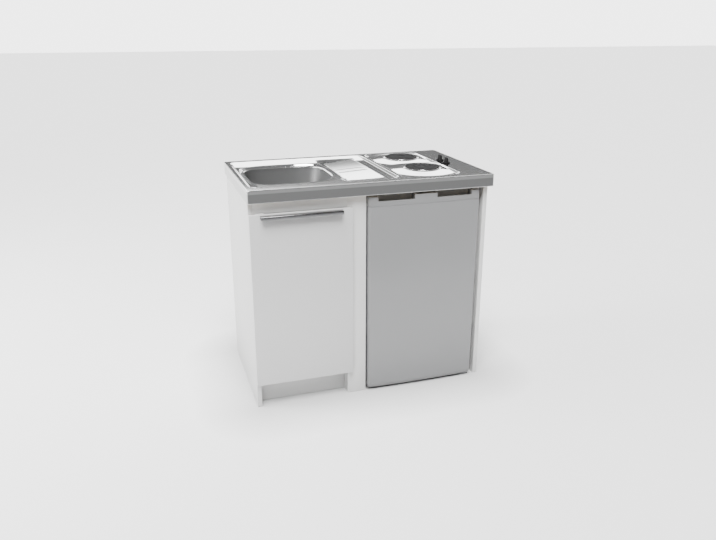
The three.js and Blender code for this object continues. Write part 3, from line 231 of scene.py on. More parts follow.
def mouldedPlastic(name, tone, rough, grain=1300, depth=0.00003, shine=0.45):
    paint = Paint(name, Specular_IOR_Level=shine)
    pits = paint.noise(grain, 2, 0.6)
    cloud = paint.noise(9, 3, 0.6)
    paint.feed("Base Color", paint.mix(cloud, scaled(tone, 0.96), scaled(tone, 1.03)))
    paint.feed("Roughness", rough + (cloud - 0.5) * 0.08 + (pits - 0.5) * 0.1)
    return paint.bump(pits, depth)


def lacquer(name, tone, rough, peel=230, depth=0.00002):
    paint = Paint(name, Coat_Roughness=0.12, Coat_Weight=0.2)
    orange = paint.noise(peel, 2, 0.5)
    cloud = paint.noise(2.2, 3, 0.6)
    wiped = paint.noise(7, 4, 0.7, place=paint.stretch((1, 1, 0.35)))
    paint.feed("Base Color", paint.mix(cloud.fit(0.3, 0.7), scaled(tone, 0.975), tone))
    paint.feed("Roughness", rough + (wiped - 0.5) * 0.08)
    return paint.bump(orange, depth)


def galvanised(name):
    paint = Paint(name, Metallic=1.0)
    spangle = paint.cells(150)
    paint.feed("Base Color", paint.mix(spangle, (0.42, 0.43, 0.44), (0.6, 0.61, 0.62)))
    paint.feed("Roughness", 0.36 + spangle * 0.16)
    return paint.bump(paint.noise(300, 2), 0.00002)


def clearGlass(name):
    paint = Paint(name, Transmission_Weight=1.0, IOR=1.5)
    wiped = paint.noise(12, 4, 0.7)
    paint.feed("Base Color", paint.mix(wiped, (0.8, 0.92, 0.88), (0.9, 0.97, 0.95)))
    paint.feed("Roughness", 0.02 + wiped * 0.05)
    return paint.bump(wiped, 0.00001)


plateSpots = dict(rear=(277, 162), front=(277, -82))
plateCentres = [(x * 0.001, (y + shiftY) * 0.001) for x, y in plateSpots.values()]
looks = dict(
    sheet_steel=pressedSteel("sheetSteel", (0.6, 0.605, 0.605), 0.05, depth=0.000002, satin=1.0),
    batten_board=chipboard("battenBoard"),
    white_board=melamine("whiteBoard", (0.54, 0.54, 0.535)),
    door_board=melamine("doorBoard", (0.46, 0.46, 0.46), 0.34),
    handle_metal=pressedSteel("handleMetal", (0.14, 0.14, 0.143), 0.22, along=(2, 120, 120)),
    hinge_metal=pressedSteel("hingeMetal", (0.6, 0.59, 0.56), 0.25, along=(20, 20, 60)),
    drain_plastic=mouldedPlastic("drainPlastic", (0.74, 0.74, 0.72), 0.4),
    plate_iron=castIron("plateIron", plateCentres),
    ring_steel=pressedSteel("ringSteel", (0.66, 0.66, 0.66), 0.16, along=(20, 20, 20)),
    bracket_steel=galvanised("bracketSteel"),
    black_plastic=mouldedPlastic("blackPlastic", (0.006, 0.006, 0.0063), 0.62, shine=0.12),
    fridge_white=lacquer("fridgeWhite", (0.7, 0.71, 0.71), 0.34),
    fridge_grey=lacquer("fridgeGrey", (0.175, 0.177, 0.179), 0.4),
    grip_plastic=mouldedPlastic("gripPlastic", (0.17, 0.172, 0.174), 0.42),
    liner_plastic=mouldedPlastic("linerPlastic", (0.76, 0.77, 0.77), 0.28, grain=500, depth=0.00001),
    gasket_rubber=mouldedPlastic("gasketRubber", (0.5, 0.51, 0.51), 0.62),
    shelf_glass=clearGlass("shelfGlass"),
    freezer_metal=pressedSteel("freezerMetal", (0.66, 0.67, 0.68), 0.42, along=(60, 3, 3)),
    dial_plastic=mouldedPlastic("dialPlastic", (0.55, 0.56, 0.56), 0.35),
    black_paint=lacquer("blackPaint", (0.02, 0.02, 0.02), 0.4, peel=90, depth=0.00004),
)
print("looks", len(looks))

slotOf = {part["node"]: part["material_slot"] for part in frame["record"]["subparts"]}
bodyOf = {node: body for body, nodes in frame["record"]["behaviour"]["bodies"].items() for node in nodes}
for name, node in frame["nodes"].items():
    node.data.materials.clear()
    node.data.materials.append(looks[slotOf[name]])


# shape tools, in millimetres


def at(x, y, z):
    return Vector((x, y + shiftY, z)) * 0.001


def addBox(mesh, low, high):
    a, b = at(*low), at(*high)
    for v in bmesh.ops.create_cube(mesh, size=1)["verts"]:
        v.co = Vector(a[i] + (v.co[i] + 0.5) * (b[i] - a[i]) for i in range(3))
    return mesh


def addRod(mesh, start, end, radius, sides=24):
    a, b = at(*start), at(*end)
    turn = (b - a).to_track_quat("Z", "Y").to_matrix().to_4x4()
    bmesh.ops.create_cone(
        mesh,
        cap_ends=True,
        segments=sides,
        radius1=radius * 0.001,
        radius2=radius * 0.001,
        depth=(b - a).length,
        matrix=Matrix.Translation((a + b) / 2) @ turn,
    )
    return mesh


def addTurned(mesh, profile, centre, steps=64):  # (radius, height) points spun round a vertical axis
    verts = [mesh.verts.new(at(centre[0] + r, centre[1], centre[2] + z)) for r, z in profile]
    edges = [mesh.edges.new(pair) for pair in zip(verts, verts[1:])]
    middle = at(*centre)
    bmesh.ops.spin(
        mesh,
        geom=verts + edges,
        cent=middle,
        axis=(0, 0, 1),
        angle=2 * math.pi,
        steps=steps,
        use_merge=True,
    )
    return mesh


def addLoft(mesh, loops):  # a closed skin over loops with as many points each
    rows = []
    for loop in loops:
        verts = [mesh.verts.new(spot) for spot in loop]
        rows.append([mesh.edges.new(pair) for pair in zip(verts, verts[1:] + verts[:1])])
    for low, high in zip(rows, rows[1:]):
        bmesh.ops.bridge_loops(mesh, edges=low + high)
    for end in (rows[0], rows[-1]):
        bmesh.ops.contextual_create(mesh, geom=end)
    return mesh


def addPipe(mesh, path, radius, rings=3):  # a bent tube along points
    curve = bpy.data.curves.new("pipe", "CURVE")
    curve.dimensions = "3D"
    curve.bevel_depth = radius * 0.001
    curve.bevel_resolution = rings
    curve.use_fill_caps = True
    line = curve.splines.new("POLY")
    line.points.add(len(path) - 1)
    for point, spot in zip(line.points, path):
        point.co = (*at(*spot), 1)
    made = bpy.data.objects.new("pipe", curve)
    data = bpy.data.meshes.new_from_object(made)
    mesh.from_mesh(data)
    bpy.data.objects.remove(made)
    return mesh


def soften(mesh, width, rounds=2, angle=38):
    sharp = [e for e in mesh.edges if len(e.link_faces) == 2 and e.calc_face_angle() > math.radians(angle)]
    bmesh.ops.bevel(
        mesh,
        geom=sharp,
        offset=width * 0.001,
        segments=rounds,
        profile=0.5,
        affect="EDGES",
        material=-1,
        clamp_overlap=True,
    )


def closed(mesh):
    bmesh.ops.remove_doubles(mesh, verts=mesh.verts, dist=0.000004)
    bmesh.ops.recalc_face_normals(mesh, faces=mesh.faces)
    return mesh


def piece(name, mesh, nodes, edge=0, angle=38, look=None, body=None, cutters=None):
    closed(mesh)
    data = bpy.data.meshes.new(name)
    mesh.to_mesh(data)
    mesh.free()
    made = bpy.data.objects.new(name, data)
    bpy.context.scene.collection.objects.link(made)
    if cutters:
        tool = bpy.data.objects.new("cutter", bpy.data.meshes.new("cutter"))
        closed(cutters).to_mesh(tool.data)
        cutters.free()
        bpy.context.scene.collection.objects.link(tool)
        bake(made, "BOOLEAN", object=tool, operation="DIFFERENCE", solver="EXACT")
        bpy.data.objects.remove(tool)
    if edge:
        rounded = bmesh.new()
        rounded.from_mesh(made.data)
        bmesh.ops.remove_doubles(rounded, verts=rounded.verts, dist=0.000004)
        bmesh.ops.dissolve_limit(
            rounded,
            angle_limit=math.radians(0.5),
            verts=rounded.verts,
            edges=rounded.edges,
        )
        soften(rounded, edge, 2, angle)
        rounded.to_mesh(made.data)
        rounded.free()
    key = look or slotOf[nodes[0]]
    made.data.materials.clear()
    made.data.materials.append(looks[key])
    made.data.shade_smooth()
    made.data.set_sharp_from_angle(angle=math.radians(angle))
    if nodes:
        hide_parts(*nodes)
    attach(made, body or bodyOf[nodes[0]])
    return made


def bake(made, kind, **settings):  # a modifier, kept as mesh
    step = made.modifiers.new(kind.lower(), kind)
    for key, value in settings.items():
        setattr(step, key, value)
    bpy.context.view_layer.update()
    shown = made.evaluated_get(bpy.context.evaluated_depsgraph_get())
    data = bpy.data.meshes.new_from_object(shown)
    made.modifiers.clear()
    made.data = data


def refined(name, edge):  # the node's own form with its edges eased
    mesh = bmesh.new()
    mesh.from_mesh(frame["nodes"][name].data)
    return piece(name + "_finish", mesh, [name], edge=edge)


def arc(cx, cy, radius, start, end, steps=8):
    turns = [math.radians(start + (end - start) * i / steps) for i in range(steps + 1)]
    return [(cx + radius * math.cos(t), cy + radius * math.sin(t)) for t in turns]


def ring(x0, x1, y0, y1, radius, steps=6):  # a rectangle with round corners
    return (
        arc(x1 - radius, y1 - radius, radius, 0, 90, steps)
        + arc(x0 + radius, y1 - radius, radius, 90, 180, steps)
        + arc(x0 + radius, y0 + radius, radius, 180, 270, steps)
        + arc(x1 - radius, y0 + radius, radius, 270, 360, steps)
    )


def smooth(value, low=0.0, high=1.0):
    t = min(1.0, max(0.0, (value - low) / (high - low)))
    return t * t * (3 - 2 * t)


def boxOf(name):  # a node's corners in the drawing's millimetres
    low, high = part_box(name)
    return [(c.x * 1000, c.y * 1000 - shiftY, c.z * 1000) for c in (Vector(low), Vector(high))]


# the pressed worktop: one grid whose lines follow the rim, the bowl and the drain

top = dict(x=500, y=300, edge=2.2, corner=6, height=900, sheet=1, apron=(880, 852, 850))
wet = dict(x=(-472, 105), y=(-245, 265), corner=30, depth=5, flank=11)
hob = dict(x=(140, 370), y=(-245, 265), corner=30, depth=5, flank=11)
deck = dict(foot=178, slope=0.055)  # behind the bowl, falling towards it
drainer = dict(x=(-98, 62), y=(-200, 215), slope=0.055, step=0.2, bank=7)
flute = dict(x=(-70, 50), y=(-23, 33), width=5.5, depth=1.5)
boss = dict(top=82, foot=150, drop=0.5)


def ramp(value, low, high):  # an even slope with its ends just eased
    return smooth(value, low, high) * 0.12 + 0.88 * min(1.0, max(0.0, (value - low) / (high - low)))


def outside(x, y, area, corner):  # distance out of a rounded rectangle
    (x0, x1), (y0, y1) = area
    dx = abs(x - (x0 + x1) / 2) - (x1 - x0) / 2 + corner
    dy = abs(y - (y0 + y1) / 2) - (y1 - y0) / 2 + corner
    return math.hypot(max(dx, 0), max(dy, 0)) + min(max(dx, dy), 0) - corner


def fluteAt(x, y):
    start, end = flute["x"]
    along = smooth(x, start - 5, start + 5) * (1 - smooth(x, end - 6, end))
    across = sum(1 - smooth(abs(y - middle), 0, flute["width"]) for middle in flute["y"])
    return flute["depth"] * along * across


def groundAt(x, y):
    height = top["height"]
    inRim = -outside(x, y, ((-top["x"], top["x"]), (-top["y"], top["y"])), top["corner"])
    if inRim < top["edge"]:
        height -= top["edge"] - math.sqrt(max(0, top["edge"] ** 2 - (top["edge"] - inRim) ** 2))
    wetShare = 1 - ramp(outside(x, y, (wet["x"], wet["y"]), wet["corner"]), 0, wet["flank"])
    rise = max(0, y - deck["foot"]) * deck["slope"] * smooth(y, deck["foot"], deck["foot"] + 4)
    height -= wetShare * (wet["depth"] - rise)
    (left, right), (front, back), bank = drainer["x"], drainer["y"], drainer["bank"]
    tray = smooth(x, left - 2 * bank, left + 2 * bank) * (1 - smooth(x, right, right + 4))
    tray *= smooth(y, front - bank, front + 1) * (1 - smooth(y, back - 1, back + bank))
    if tray > 0:
        fall = (right - x) * drainer["slope"] + drainer["step"]
        height -= tray * (rise + fall + fluteAt(x, y))
    hobShare = 1 - ramp(outside(x, y, (hob["x"], hob["y"]), hob["corner"]), 0, hob["flank"])
    if hobShare > 0:
        floor = hob["depth"]
        for px, py in plateSpots.values():
            up = 1 - ramp(math.hypot(x - px, y - py), boss["top"], boss["foot"])
            floor = min(floor, hob["depth"] - up * (hob["depth"] - boss["drop"]))
        height -= hobShare * floor
    return height


bowlRings = [  # left, right, front, back, left power, right power, height, share of that height
    (-470, -70, -206, 184, 4.5, 3.5, 895, 0),
    (-466.5, -73.5, -202.5, 180.5, 4.5, 3.5, 892, 0.45),
    (-462, -78, -198, 176, 4.5, 3.5, 887.1, 1),
    (-460.5, -79.5, -196.5, 174.5, 4.5, 3.5, 887.1, 1),
    (-450, -112, -158, 167, 4.5, 3.5, 887.1, 1),
    (-448.6, -113.4, -156.6, 165.6, 4.5, 3.5, 885.6, 1),
    (-447.8, -114.2, -155.8, 164.8, 4.5, 3.5, 874, 1),
    (-431, -131, -138, 148, 4.5, 3.5, 778, 1),
    (-424, -138, -131, 141, 4.2, 3.4, 760, 1),
    (-404, -158, -111, 121, 3.6, 3.2, 751.5, 1),
    (-368, -194, -75, 85, 2.6, 2.6, 750.2, 1),
    (-341.5, -220.5, -55.5, 65.5, 2, 2, 750, 1),
    (-337, -225, -51, 61, 2, 2, 748, 1),
    (-326.5, -235.5, -40.5, 50.5, 2, 2, 748, 1),
]


def eased(rings, rounds):  # corner cutting, so that the wall flows into floor and lip
    for _ in range(rounds):
        cut = [rings[0]]
        for a, b in zip(rings, rings[1:]):
            cut.append(tuple(p * 0.75 + q * 0.25 for p, q in zip(a, b)))
            cut.append(tuple(p * 0.25 + q * 0.75 for p, q in zip(a, b)))
        rings = cut + [rings[-1]]
    return rings


rings = eased(bowlRings, 2)
hole = 5  # grid squares from the middle to the drain's edge
half = len(rings) - 1 + hole


def onRing(ring, a, b):  # a point of a ring from its place on a unit square
    left, right, front, back, powerLeft, powerRight = ring[:6]
    halfLength = (back - front) / 2
    middle = left + halfLength + (right - left - 2 * halfLength) * 0.5 * (powerLeft < 2.3)
    power = powerLeft if a < 0 else powerRight
    scale = (abs(a) ** power + abs(b) ** power) ** (-1 / power)
    reach = right - middle if a > 0 else middle - left
    return middle + reach * a * scale, (front + back) / 2 + halfLength * b * scale


def spread(start, end, step):
    count = max(1, round(abs(end - start) / step))
    return [start + (end - start) * i / count for i in range(count)]


edgeSteps = [0, 0.05, 0.2, 0.5, 1, 1.6, 2.3, 4.2]
lip = rings[0]
bowlX = [onRing(lip, i / half, 1e-9 if i else 0.001)[0] for i in range(-half, half + 1)]
bowlX[half] = lip[0] + (lip[3] - lip[2]) / 2
bowlY = [(lip[2] + lip[3]) / 2 + (lip[3] - lip[2]) / 2 * i / half for i in range(-half, half + 1)]
(wetLeft, wetRight), (wetFront, wetBack) = wet["x"], wet["y"]
(hobLeft, hobRight), drainerEnd = hob["x"], drainer["x"][1]
lipRight, lipFront, lipBack = lip[1:4]
flank, inner = wet["flank"] + 1, top["corner"]
linesX = (  # close together where the sheet bends, wide apart where it is flat
    [-top["x"] + s for s in edgeSteps]
    + spread(inner - top["x"], wetLeft - flank, 3)
    + spread(wetLeft - flank, wetLeft + 1, 1.1)
    + bowlX
    + spread(lipRight + 4, drainerEnd - 4, 4)[1:]
    + spread(drainerEnd - 4, drainerEnd + 6, 1.2)
    + spread(drainerEnd + 6, wetRight - 1, 4)
    + spread(wetRight - 1, wetRight + flank + 1, 1.2)
    + spread(wetRight + flank + 1, hobLeft - flank, 2)
    + spread(hobLeft - flank, hobLeft + 1, 1.2)
    + spread(hobLeft + 1, hobRight - 1, 4.6)
    + spread(hobRight - 1, hobRight + flank + 1, 1.2)
    + spread(hobRight + flank + 1, top["x"] - inner, 8)
    + [top["x"] - s for s in reversed(edgeSteps)]
)
linesY = (
    [-top["y"] + s for s in edgeSteps]
    + spread(inner - top["y"], wetFront - flank, 5)
    + spread(wetFront - flank, wetFront + 1, 1.1)
    + spread(wetFront + 1, lipFront, 3.5)
    + bowlY
    + spread(lipBack + 4, wetBack - 1, 3)
    + spread(wetBack - 1, wetBack + flank, 1.1)
    + spread(wetBack + flank, top["y"] - inner, 4)
    + [top["y"] - s for s in reversed(edgeSteps)]
)
firstX = linesX.index(bowlX[0])
firstY = linesY.index(bowlY[0])


def topPoint(i, j):
    x, y = linesX[i], linesY[j]
    u, v = i - firstX - half, j - firstY - half
    k = max(abs(u), abs(v))
    if k < hole:
        return None
    if k <= half:
        ring = rings[half - k]
        px, py = onRing(ring, u / k, v / k)
        ground = groundAt(px, py)
        return at(px, py, ground * (1 - ring[7]) + min(ring[6], ground) * ring[7])
    a, b = max(-half, min(half, u)), max(-half, min(half, v))
    bx, by = onRing(lip, a / half, b / half)
    left, right = max(bowlX[0] - x, 0), max(x - bowlX[-1], 0)
    front, back = max(bowlY[0] - y, 0), max(y - bowlY[-1], 0)

    def fade(*reaches):
        return math.prod(1 - smooth(d, 0, reach) for d, reach in zip((left, right, front, back), reaches))

    x += (bx - bowlX[a + half]) * fade(2, 90, 90, 100)
    y += (by - bowlY[b + half]) * fade(26, 110, 38, 78)
    corner = top["corner"]
    cx, cy = abs(x) - top["x"] + corner, abs(y) - top["y"] + corner
    if cx > 0 and cy > 0:  # the rim's corners are round in plan
        pull = max(cx, cy) / math.hypot(cx, cy)
        x = math.copysign(top["x"] - corner + cx * pull, x)
        y = math.copysign(top["y"] - corner + cy * pull, y)
    return at(x, y, groundAt(x, y))


def onRim(v):
    near = top["corner"] + 0.5
    x, y = abs(v.co.x) * 1000, abs(v.co.y * 1000 - shiftY)
    return x > top["x"] - near or y > top["y"] - near


def worktop():
    mesh = bmesh.new()
    wide, deep = len(linesX) - 1, len(linesY) - 1
    bmesh.ops.create_grid(mesh, x_segments=wide, y_segments=deep, size=1)
    lost = []
    for v in mesh.verts:
        spot = topPoint(round((v.co.x + 1) / 2 * wide), round((v.co.y + 1) / 2 * deep))
        if spot is None:
            lost.append(v)
        else:
            v.co = spot
    bmesh.ops.delete(mesh, geom=lost, context="VERTS")
    spots = [at(*spot, 899) for spot in plateSpots.values()]
    under = [f for f in mesh.faces if any((f.calc_center_median() - spot).length < 0.0725 for spot in spots)]
    bmesh.ops.delete(mesh, geom=under, context="FACES")
    rim = [e for e in mesh.edges if e.is_boundary and all(onRim(v) for v in e.verts)]
    for drop in top["apron"]:
        grown = bmesh.ops.extrude_edge_only(mesh, edges=rim)["geom"]
        rim = [e for e in grown if isinstance(e, bmesh.types.BMEdge)]
        for v in grown:
            if isinstance(v, bmesh.types.BMVert):
                v.co.z = drop * 0.001
    made = piece("worktopSheet", mesh, ["worktop_sheet"], angle=50)
    bake(made, "SOLIDIFY", thickness=top["sheet"] * 0.001, offset=-1, use_quality_normals=True)
    return made


sheetPiece = worktop()
print("worktop", len(sheetPiece.data.polygons))


# screw heads with a crossed slot


# all but the turn and the steps are shares of the head's radius
screw = dict(rise=0.42, steps=20, slotReach=0.62, slotHalf=0.14, slotDepth=0.25, slotTurn=0.5)


def screwHead(radius):
    head = bmesh.new()
    rise = radius * screw["rise"]
    profile = [(0, rise), (radius * 0.45, rise * 0.94), (radius * 0.8, rise * 0.6), (radius, 0), (0, 0)]
    return addTurned(head, profile, (0, -shiftY, 0), screw["steps"])


def screwHeads(name, body, places, radius=3.4):
    heads, slots = bmesh.new(), bmesh.new()
    far, near, deep = (radius * screw[size] * 0.001 for size in ("slotReach", "slotHalf", "slotDepth"))
    quarter = [(far, near), (near, near), (near, far)]
    ways = ((1, 0), (0, 1), (-1, 0), (0, -1))
    cross = [(c * px - s * py, s * px + c * py) for c, s in ways for px, py in quarter]
    for x, y, z, *out in places:
        turn = Vector(out).to_track_quat("Z", "Y").to_matrix().to_4x4()
        head = screwHead(radius)
        bmesh.ops.transform(head, matrix=Matrix.Translation(at(x, y, z)) @ turn, verts=head.verts)
        data = bpy.data.meshes.new("head")
        head.to_mesh(data)
        head.free()
        heads.from_mesh(data)
        crest = at(x, y, z) + Vector(out) * radius * screw["rise"] * 0.001
        place = Matrix.Translation(crest) @ turn @ Matrix.Rotation(screw["slotTurn"], 4, "Z")
        addLoft(slots, [[place @ Vector((px, py, level)) for px, py in cross] for level in (-deep, deep)])
    return piece(name, heads, [], angle=30, look="hinge_metal", body=body, cutters=slots)


# carcase, and every plain piece with its edges eased

easedEdges = dict(
    left_side_panel=0.6,
    right_side_panel=0.6,
    partition_panel=0.6,
    filler_panel=0.6,
    front_rail=0.6,
    cabinet_bottom=0.6,
    rear_rail=0.6,
    niche_rear_rail=0.6,
    plinth_board=0.6,
    cabinet_back=0.3,
    front_batten=0.4,
    rear_batten=0.4,
    left_batten=0.4,
    right_batten=0.4,
    plate_bridge_rear=0.3,
    plate_bridge_front=0.3,
    hob_tray=0.3,
    hob_switch_rear=0.6,
    hob_switch_front=0.6,
    hinge_cup_upper=0.25,
    hinge_cup_lower=0.25,
    hinge_link_upper=0.25,
    hinge_link_lower=0.25,
    hinge_arm_upper=0.4,
    hinge_arm_lower=0.4,
    fridge_body=1.6,
    fridge_door_liner=0.7,
    fridge_door_gasket=1.4,
    door_rack_upper=0.8,
    door_rack_lower=0.8,
    fridge_hinge_top=0.5,
    fridge_hinge_bottom=0.5,
    glass_shelf=0.7,
    crisper_cover=0.7,
    crisper=0.9,
    freezer_box=0.7,
    freezer_flap=0.8,
    thermostat_housing=0.8,
    thermostat_dial=0.5,
)
for name, edge in easedEdges.items():
    refined(name, edge)
print("eased pieces", len(easedEdges))


# cabinet door, handle and hinge screws

door = dict(x=(-497, -97), back=-278, board=18, z=(104, 806), edge=1.4)
handle = dict(length=318, height=14, depth=22, wall=2.5, drop=3, corner=3.4)
hinges = dict(heights=(706, 204), cupX=-475.5, cup=17.5, cupDepth=12.6, flange=1.2)
hingeScrew = dict(cupPitch=22.5, platePitch=18, plateX=-476.6, plateY=-239)


def cabinetDoor():
    (left, right), (low, high), back = door["x"], door["z"], door["back"]
    mesh = addBox(bmesh.new(), (left, back - door["board"], low), (right, back, high))
    bores = bmesh.new()
    for z in hinges["heights"]:
        start = (hinges["cupX"], back + 2, z)
        end = (hinges["cupX"], back - hinges["cupDepth"], z)
        addRod(bores, start, end, hinges["cup"], 40)
    piece("cabinetDoor", mesh, ["cabinet_door"], edge=door["edge"], cutters=bores)


def doorHandle():
    back = door["back"] - door["board"] - 0.3
    front = back - handle["depth"]
    high = door["z"][1] - handle["drop"]
    low = high - handle["height"]
    wall, corner = handle["wall"], handle["corner"]
    outline = (
        [(back, low), (back, high)]
        + arc(front + corner, high - corner, corner, 90, 180)
        + [(front, low), (front + wall, low), (front + wall, high - corner)]
        + [(front + corner, high - wall), (back - wall, high - wall), (back - wall, low)]
    )
    middle = sum(door["x"]) / 2
    ends = [middle - handle["length"] / 2, middle + handle["length"] / 2]
    mesh = addLoft(bmesh.new(), [[at(x, y, z) for y, z in outline] for x in ends])
    piece("doorHandle", mesh, ["door_handle"], edge=0.35, angle=32)


cabinetDoor()
doorHandle()
pairs = [(z, way) for z in hinges["heights"] for way in (-1, 1)]
cupFace = door["back"] + hinges["flange"]
cupScrews = [(hinges["cupX"], cupFace, z + way * hingeScrew["cupPitch"], 0, 1, 0) for z, way in pairs]
plateFace = (hingeScrew["plateX"], hingeScrew["plateY"])
plateScrews = [(*plateFace, z + way * hingeScrew["platePitch"], 1, 0, 0) for z, way in pairs]
screwHeads("cupScrews", "sink_door", cupScrews)
screwHeads("plateScrews", "carcase", plateScrews)
print("cabinet door")


# hot plates and knobs

seat = 899.5  # the rings lie on the sheet at this height
plate = dict(radius=72.8, rise=6, hollow=18, hollowDepth=1.4, grooves=(34, 54), grooveWidth=3, grooveDepth=1)
plateUnder = dict(lip=1.3, wall=69.4, depth=9, taper=61, base=12, stud=4, studEnd=31)
overflow = dict(
    inner=69.8,
    outer=80,
    under=0.35,
    flat=0.9,
    rise=(73.3, 73.4),
    bead=3.6,
    crest=75.4,
    slope=77.2,
    slopeTop=1.6,
)


def rounded(points, radius, steps=4):  # an open profile with its inner corners rounded
    out = [points[0]]
    for before, corner, after in zip(points, points[1:], points[2:]):
        a, b, c = Vector(before), Vector(corner), Vector(after)
        reach = min(radius, (a - b).length * 0.45, (c - b).length * 0.45)
        start = b + (a - b).normalized() * reach
        end = b + (c - b).normalized() * reach
        for i in range(steps + 1):
            t = i / steps
            out.append(tuple(start * (1 - t) ** 2 + b * 2 * t * (1 - t) + end * t * t))
    return out + [points[-1]]


def hotPlate(name, node, centre):
    radius, rise, under = plate["radius"], plate["rise"], plateUnder
    floor = rise - plate["hollowDepth"]
    profile = [(0, floor), (plate["hollow"] - 2, floor), (plate["hollow"], rise)]
    for r in plate["grooves"]:
        low, wide = rise - plate["grooveDepth"], plate["grooveWidth"]
        profile += [(r, rise), (r + 0.7, low), (r + wide - 0.7, low), (r + wide, rise)]
    profile += [(radius, rise), (radius, under["lip"]), (under["wall"], under["lip"])]
    profile += [(under["wall"], -under["depth"]), (under["taper"], -under["base"])]
    profile += [(under["stud"], -under["base"]), (under["stud"], -under["studEnd"]), (0, -under["studEnd"])]
    mesh = addTurned(bmesh.new(), rounded(profile, 0.9, 3), (*centre, seat), 96)
    piece(name, mesh, [node], angle=40)


def overflowRing(name, node, centre):
    inner, outer, under, flat = overflow["inner"], overflow["outer"], overflow["under"], overflow["flat"]
    (start, end), bead = overflow["rise"], overflow["bead"]
    profile = [(inner, flat), (start, flat), (end, bead), (overflow["crest"], bead)]
    profile += [(overflow["slope"], overflow["slopeTop"]), (outer, flat), (outer, under)]
    profile += [(inner, under), (inner, flat)]
    mesh = addTurned(bmesh.new(), rounded(profile, 1.2, 4), (*centre, seat), 96)
    piece(name, mesh, [node], angle=50)


for word, spot in plateSpots.items():
    hotPlate(word + "HotPlate", "hot_plate_" + word, spot)
    overflowRing(word + "Ring", "plate_ring_" + word, spot)

knob = dict(x=412, rear=38, front=-28, lift=900.6, radius=17.5, bore=3.4, skirt=4.5)
wing = dict(wide=11, tall=20, rings=14, sides=48)


def knobPiece(word):
    x, y, lift = knob["x"], knob[word], knob["lift"]
    radius, skirt, tall = knob["radius"], knob["skirt"], wing["tall"]
    profile = [(knob["bore"], 0), (radius, 0), (radius, skirt - 1.4), (radius - 3, skirt), (0, skirt)]
    mesh = addTurned(bmesh.new(), rounded(profile, 1.4, 5)[:-1] + [(0, skirt)], (x, y, lift), 72)
    loops = []
    for step in range(wing["rings"] + 1):  # the wing narrows upwards and is waisted, with a domed crest
        t = step / wing["rings"]
        crest = smooth(t, 0.72, 1.0)
        reach = radius - 1.2 - 1.6 * t - 4.5 * crest * crest
        halfWide = wing["wide"] / 2 - 0.9 * t - 2.1 * crest * crest
        level = lift + skirt - 0.6 + (tall + 0.6) * (1 - (1 - t) ** 1.25)
        loop = []
        for i in range(wing["sides"]):
            turn = 2 * math.pi * i / wing["sides"]
            c, s = math.cos(turn), math.sin(turn)
            py = math.copysign(abs(s) ** 0.8, s) * reach
            waist = 0.8 + 0.2 * (py / reach) ** 2
            px = math.copysign(abs(c) ** 0.55, c) * halfWide * waist
            loop.append(at(x + px, y + py, level))
        loops.append(loop)
    addLoft(mesh, loops)
    piece(word + "Knob", mesh, ["hob_knob_" + word], angle=35)


for word in plateSpots:
    knobPiece(word)
print("hob")


# drain

drain = dict(x=-281, y=5, floor=750)
cup = dict(flange=56, under=1.7, wall=45, depth=46, outlet=22, outletTop=52, outletEnd=64, sheet=1.5)
sieve = dict(rings=((10, 8), (18, 14), (26, 20)), hole=1.9, slots=24, slotDepth=19, slot=2.4)


def strainer():
    flange, under, wall, depth = cup["flange"], cup["under"], cup["wall"], cup["depth"]
    outlet, shoulder, end, sheet = cup["outlet"], cup["outletTop"], cup["outletEnd"], cup["sheet"]
    profile = [(flange, -under), (wall, -under), (wall, -depth), (outlet, -shoulder), (outlet, -end)]
    profile += [(outlet - 2, -end), (outlet - 2, 1 - shoulder), (wall - sheet, sheet - depth)]
    profile += [(wall - sheet, -0.6), (wall + 0.5, -0.3), (flange - sheet, -0.4), (flange, -under)]
    mesh = addTurned(bmesh.new(), rounded(profile, 0.8, 3), (drain["x"], drain["y"], drain["floor"]), 72)
    piece("strainer", mesh, ["sink_strainer"], angle=40)


def basket():
    x, y, floor = drain["x"], drain["y"], drain["floor"]
    profile = [(0, -30), (35.2, -30), (37.4, -7.5), (38.6, -5.4), (42.6, -4.4), (42.6, -3.4), (37.4, -4.3)]
    profile += [(36.2, -7.5), (34.2, -28.9), (3, -28.9), (3, 2), (6.5, 3.6), (6.8, 5.2), (5.6, 7.4), (0, 8)]
    mesh = addTurned(bmesh.new(), profile, (x, y, floor), 60)
    holes = bmesh.new()
    for radius, count in sieve["rings"]:
        for i in range(count):
            turn = 2 * math.pi * (i + radius % 4 / 4) / count
            px, py = x + radius * math.cos(turn), y + radius * math.sin(turn)
            addRod(holes, (px, py, floor - 32), (px, py, floor - 27), sieve["hole"], 10)
    for i in range(sieve["slots"]):  # slots in the wall
        turn = 2 * math.pi * i / sieve["slots"]
        c, s, z = math.cos(turn), math.sin(turn), floor - sieve["slotDepth"]
        addRod(holes, (x + 31 * c, y + 31 * s, z), (x + 40 * c, y + 40 * s, z), sieve["slot"], 10)
    piece("basket", mesh, ["strainer_basket"], angle=35, cutters=holes)


nut = dict(radius=26.6, z=(670.5, 684.5), ribs=18, bevel=(1.6, 1.2), valley=(0.8, 1.8))


def ribbedNut(mesh):
    radius, (low, high) = nut["radius"], nut["z"]
    (inset, rise), (shallow, full) = nut["bevel"], nut["valley"]
    steps = nut["ribs"] * 6

    def loop(r, depth, z):
        spots = []
        for i in range(steps):
            turn = 2 * math.pi * i / steps
            out = r - depth * (i % 6 in (3, 4, 5))  # half of each pitch is valley
            spots.append(at(drain["x"] + out * math.cos(turn), drain["y"] + out * math.sin(turn), z))
        return spots

    ends = [loop(radius - inset, shallow, z) for z in (low, high)]
    body = [loop(radius, full, z) for z in (low + rise, high - rise)]
    return addLoft(mesh, [ends[0], *body, ends[1]])


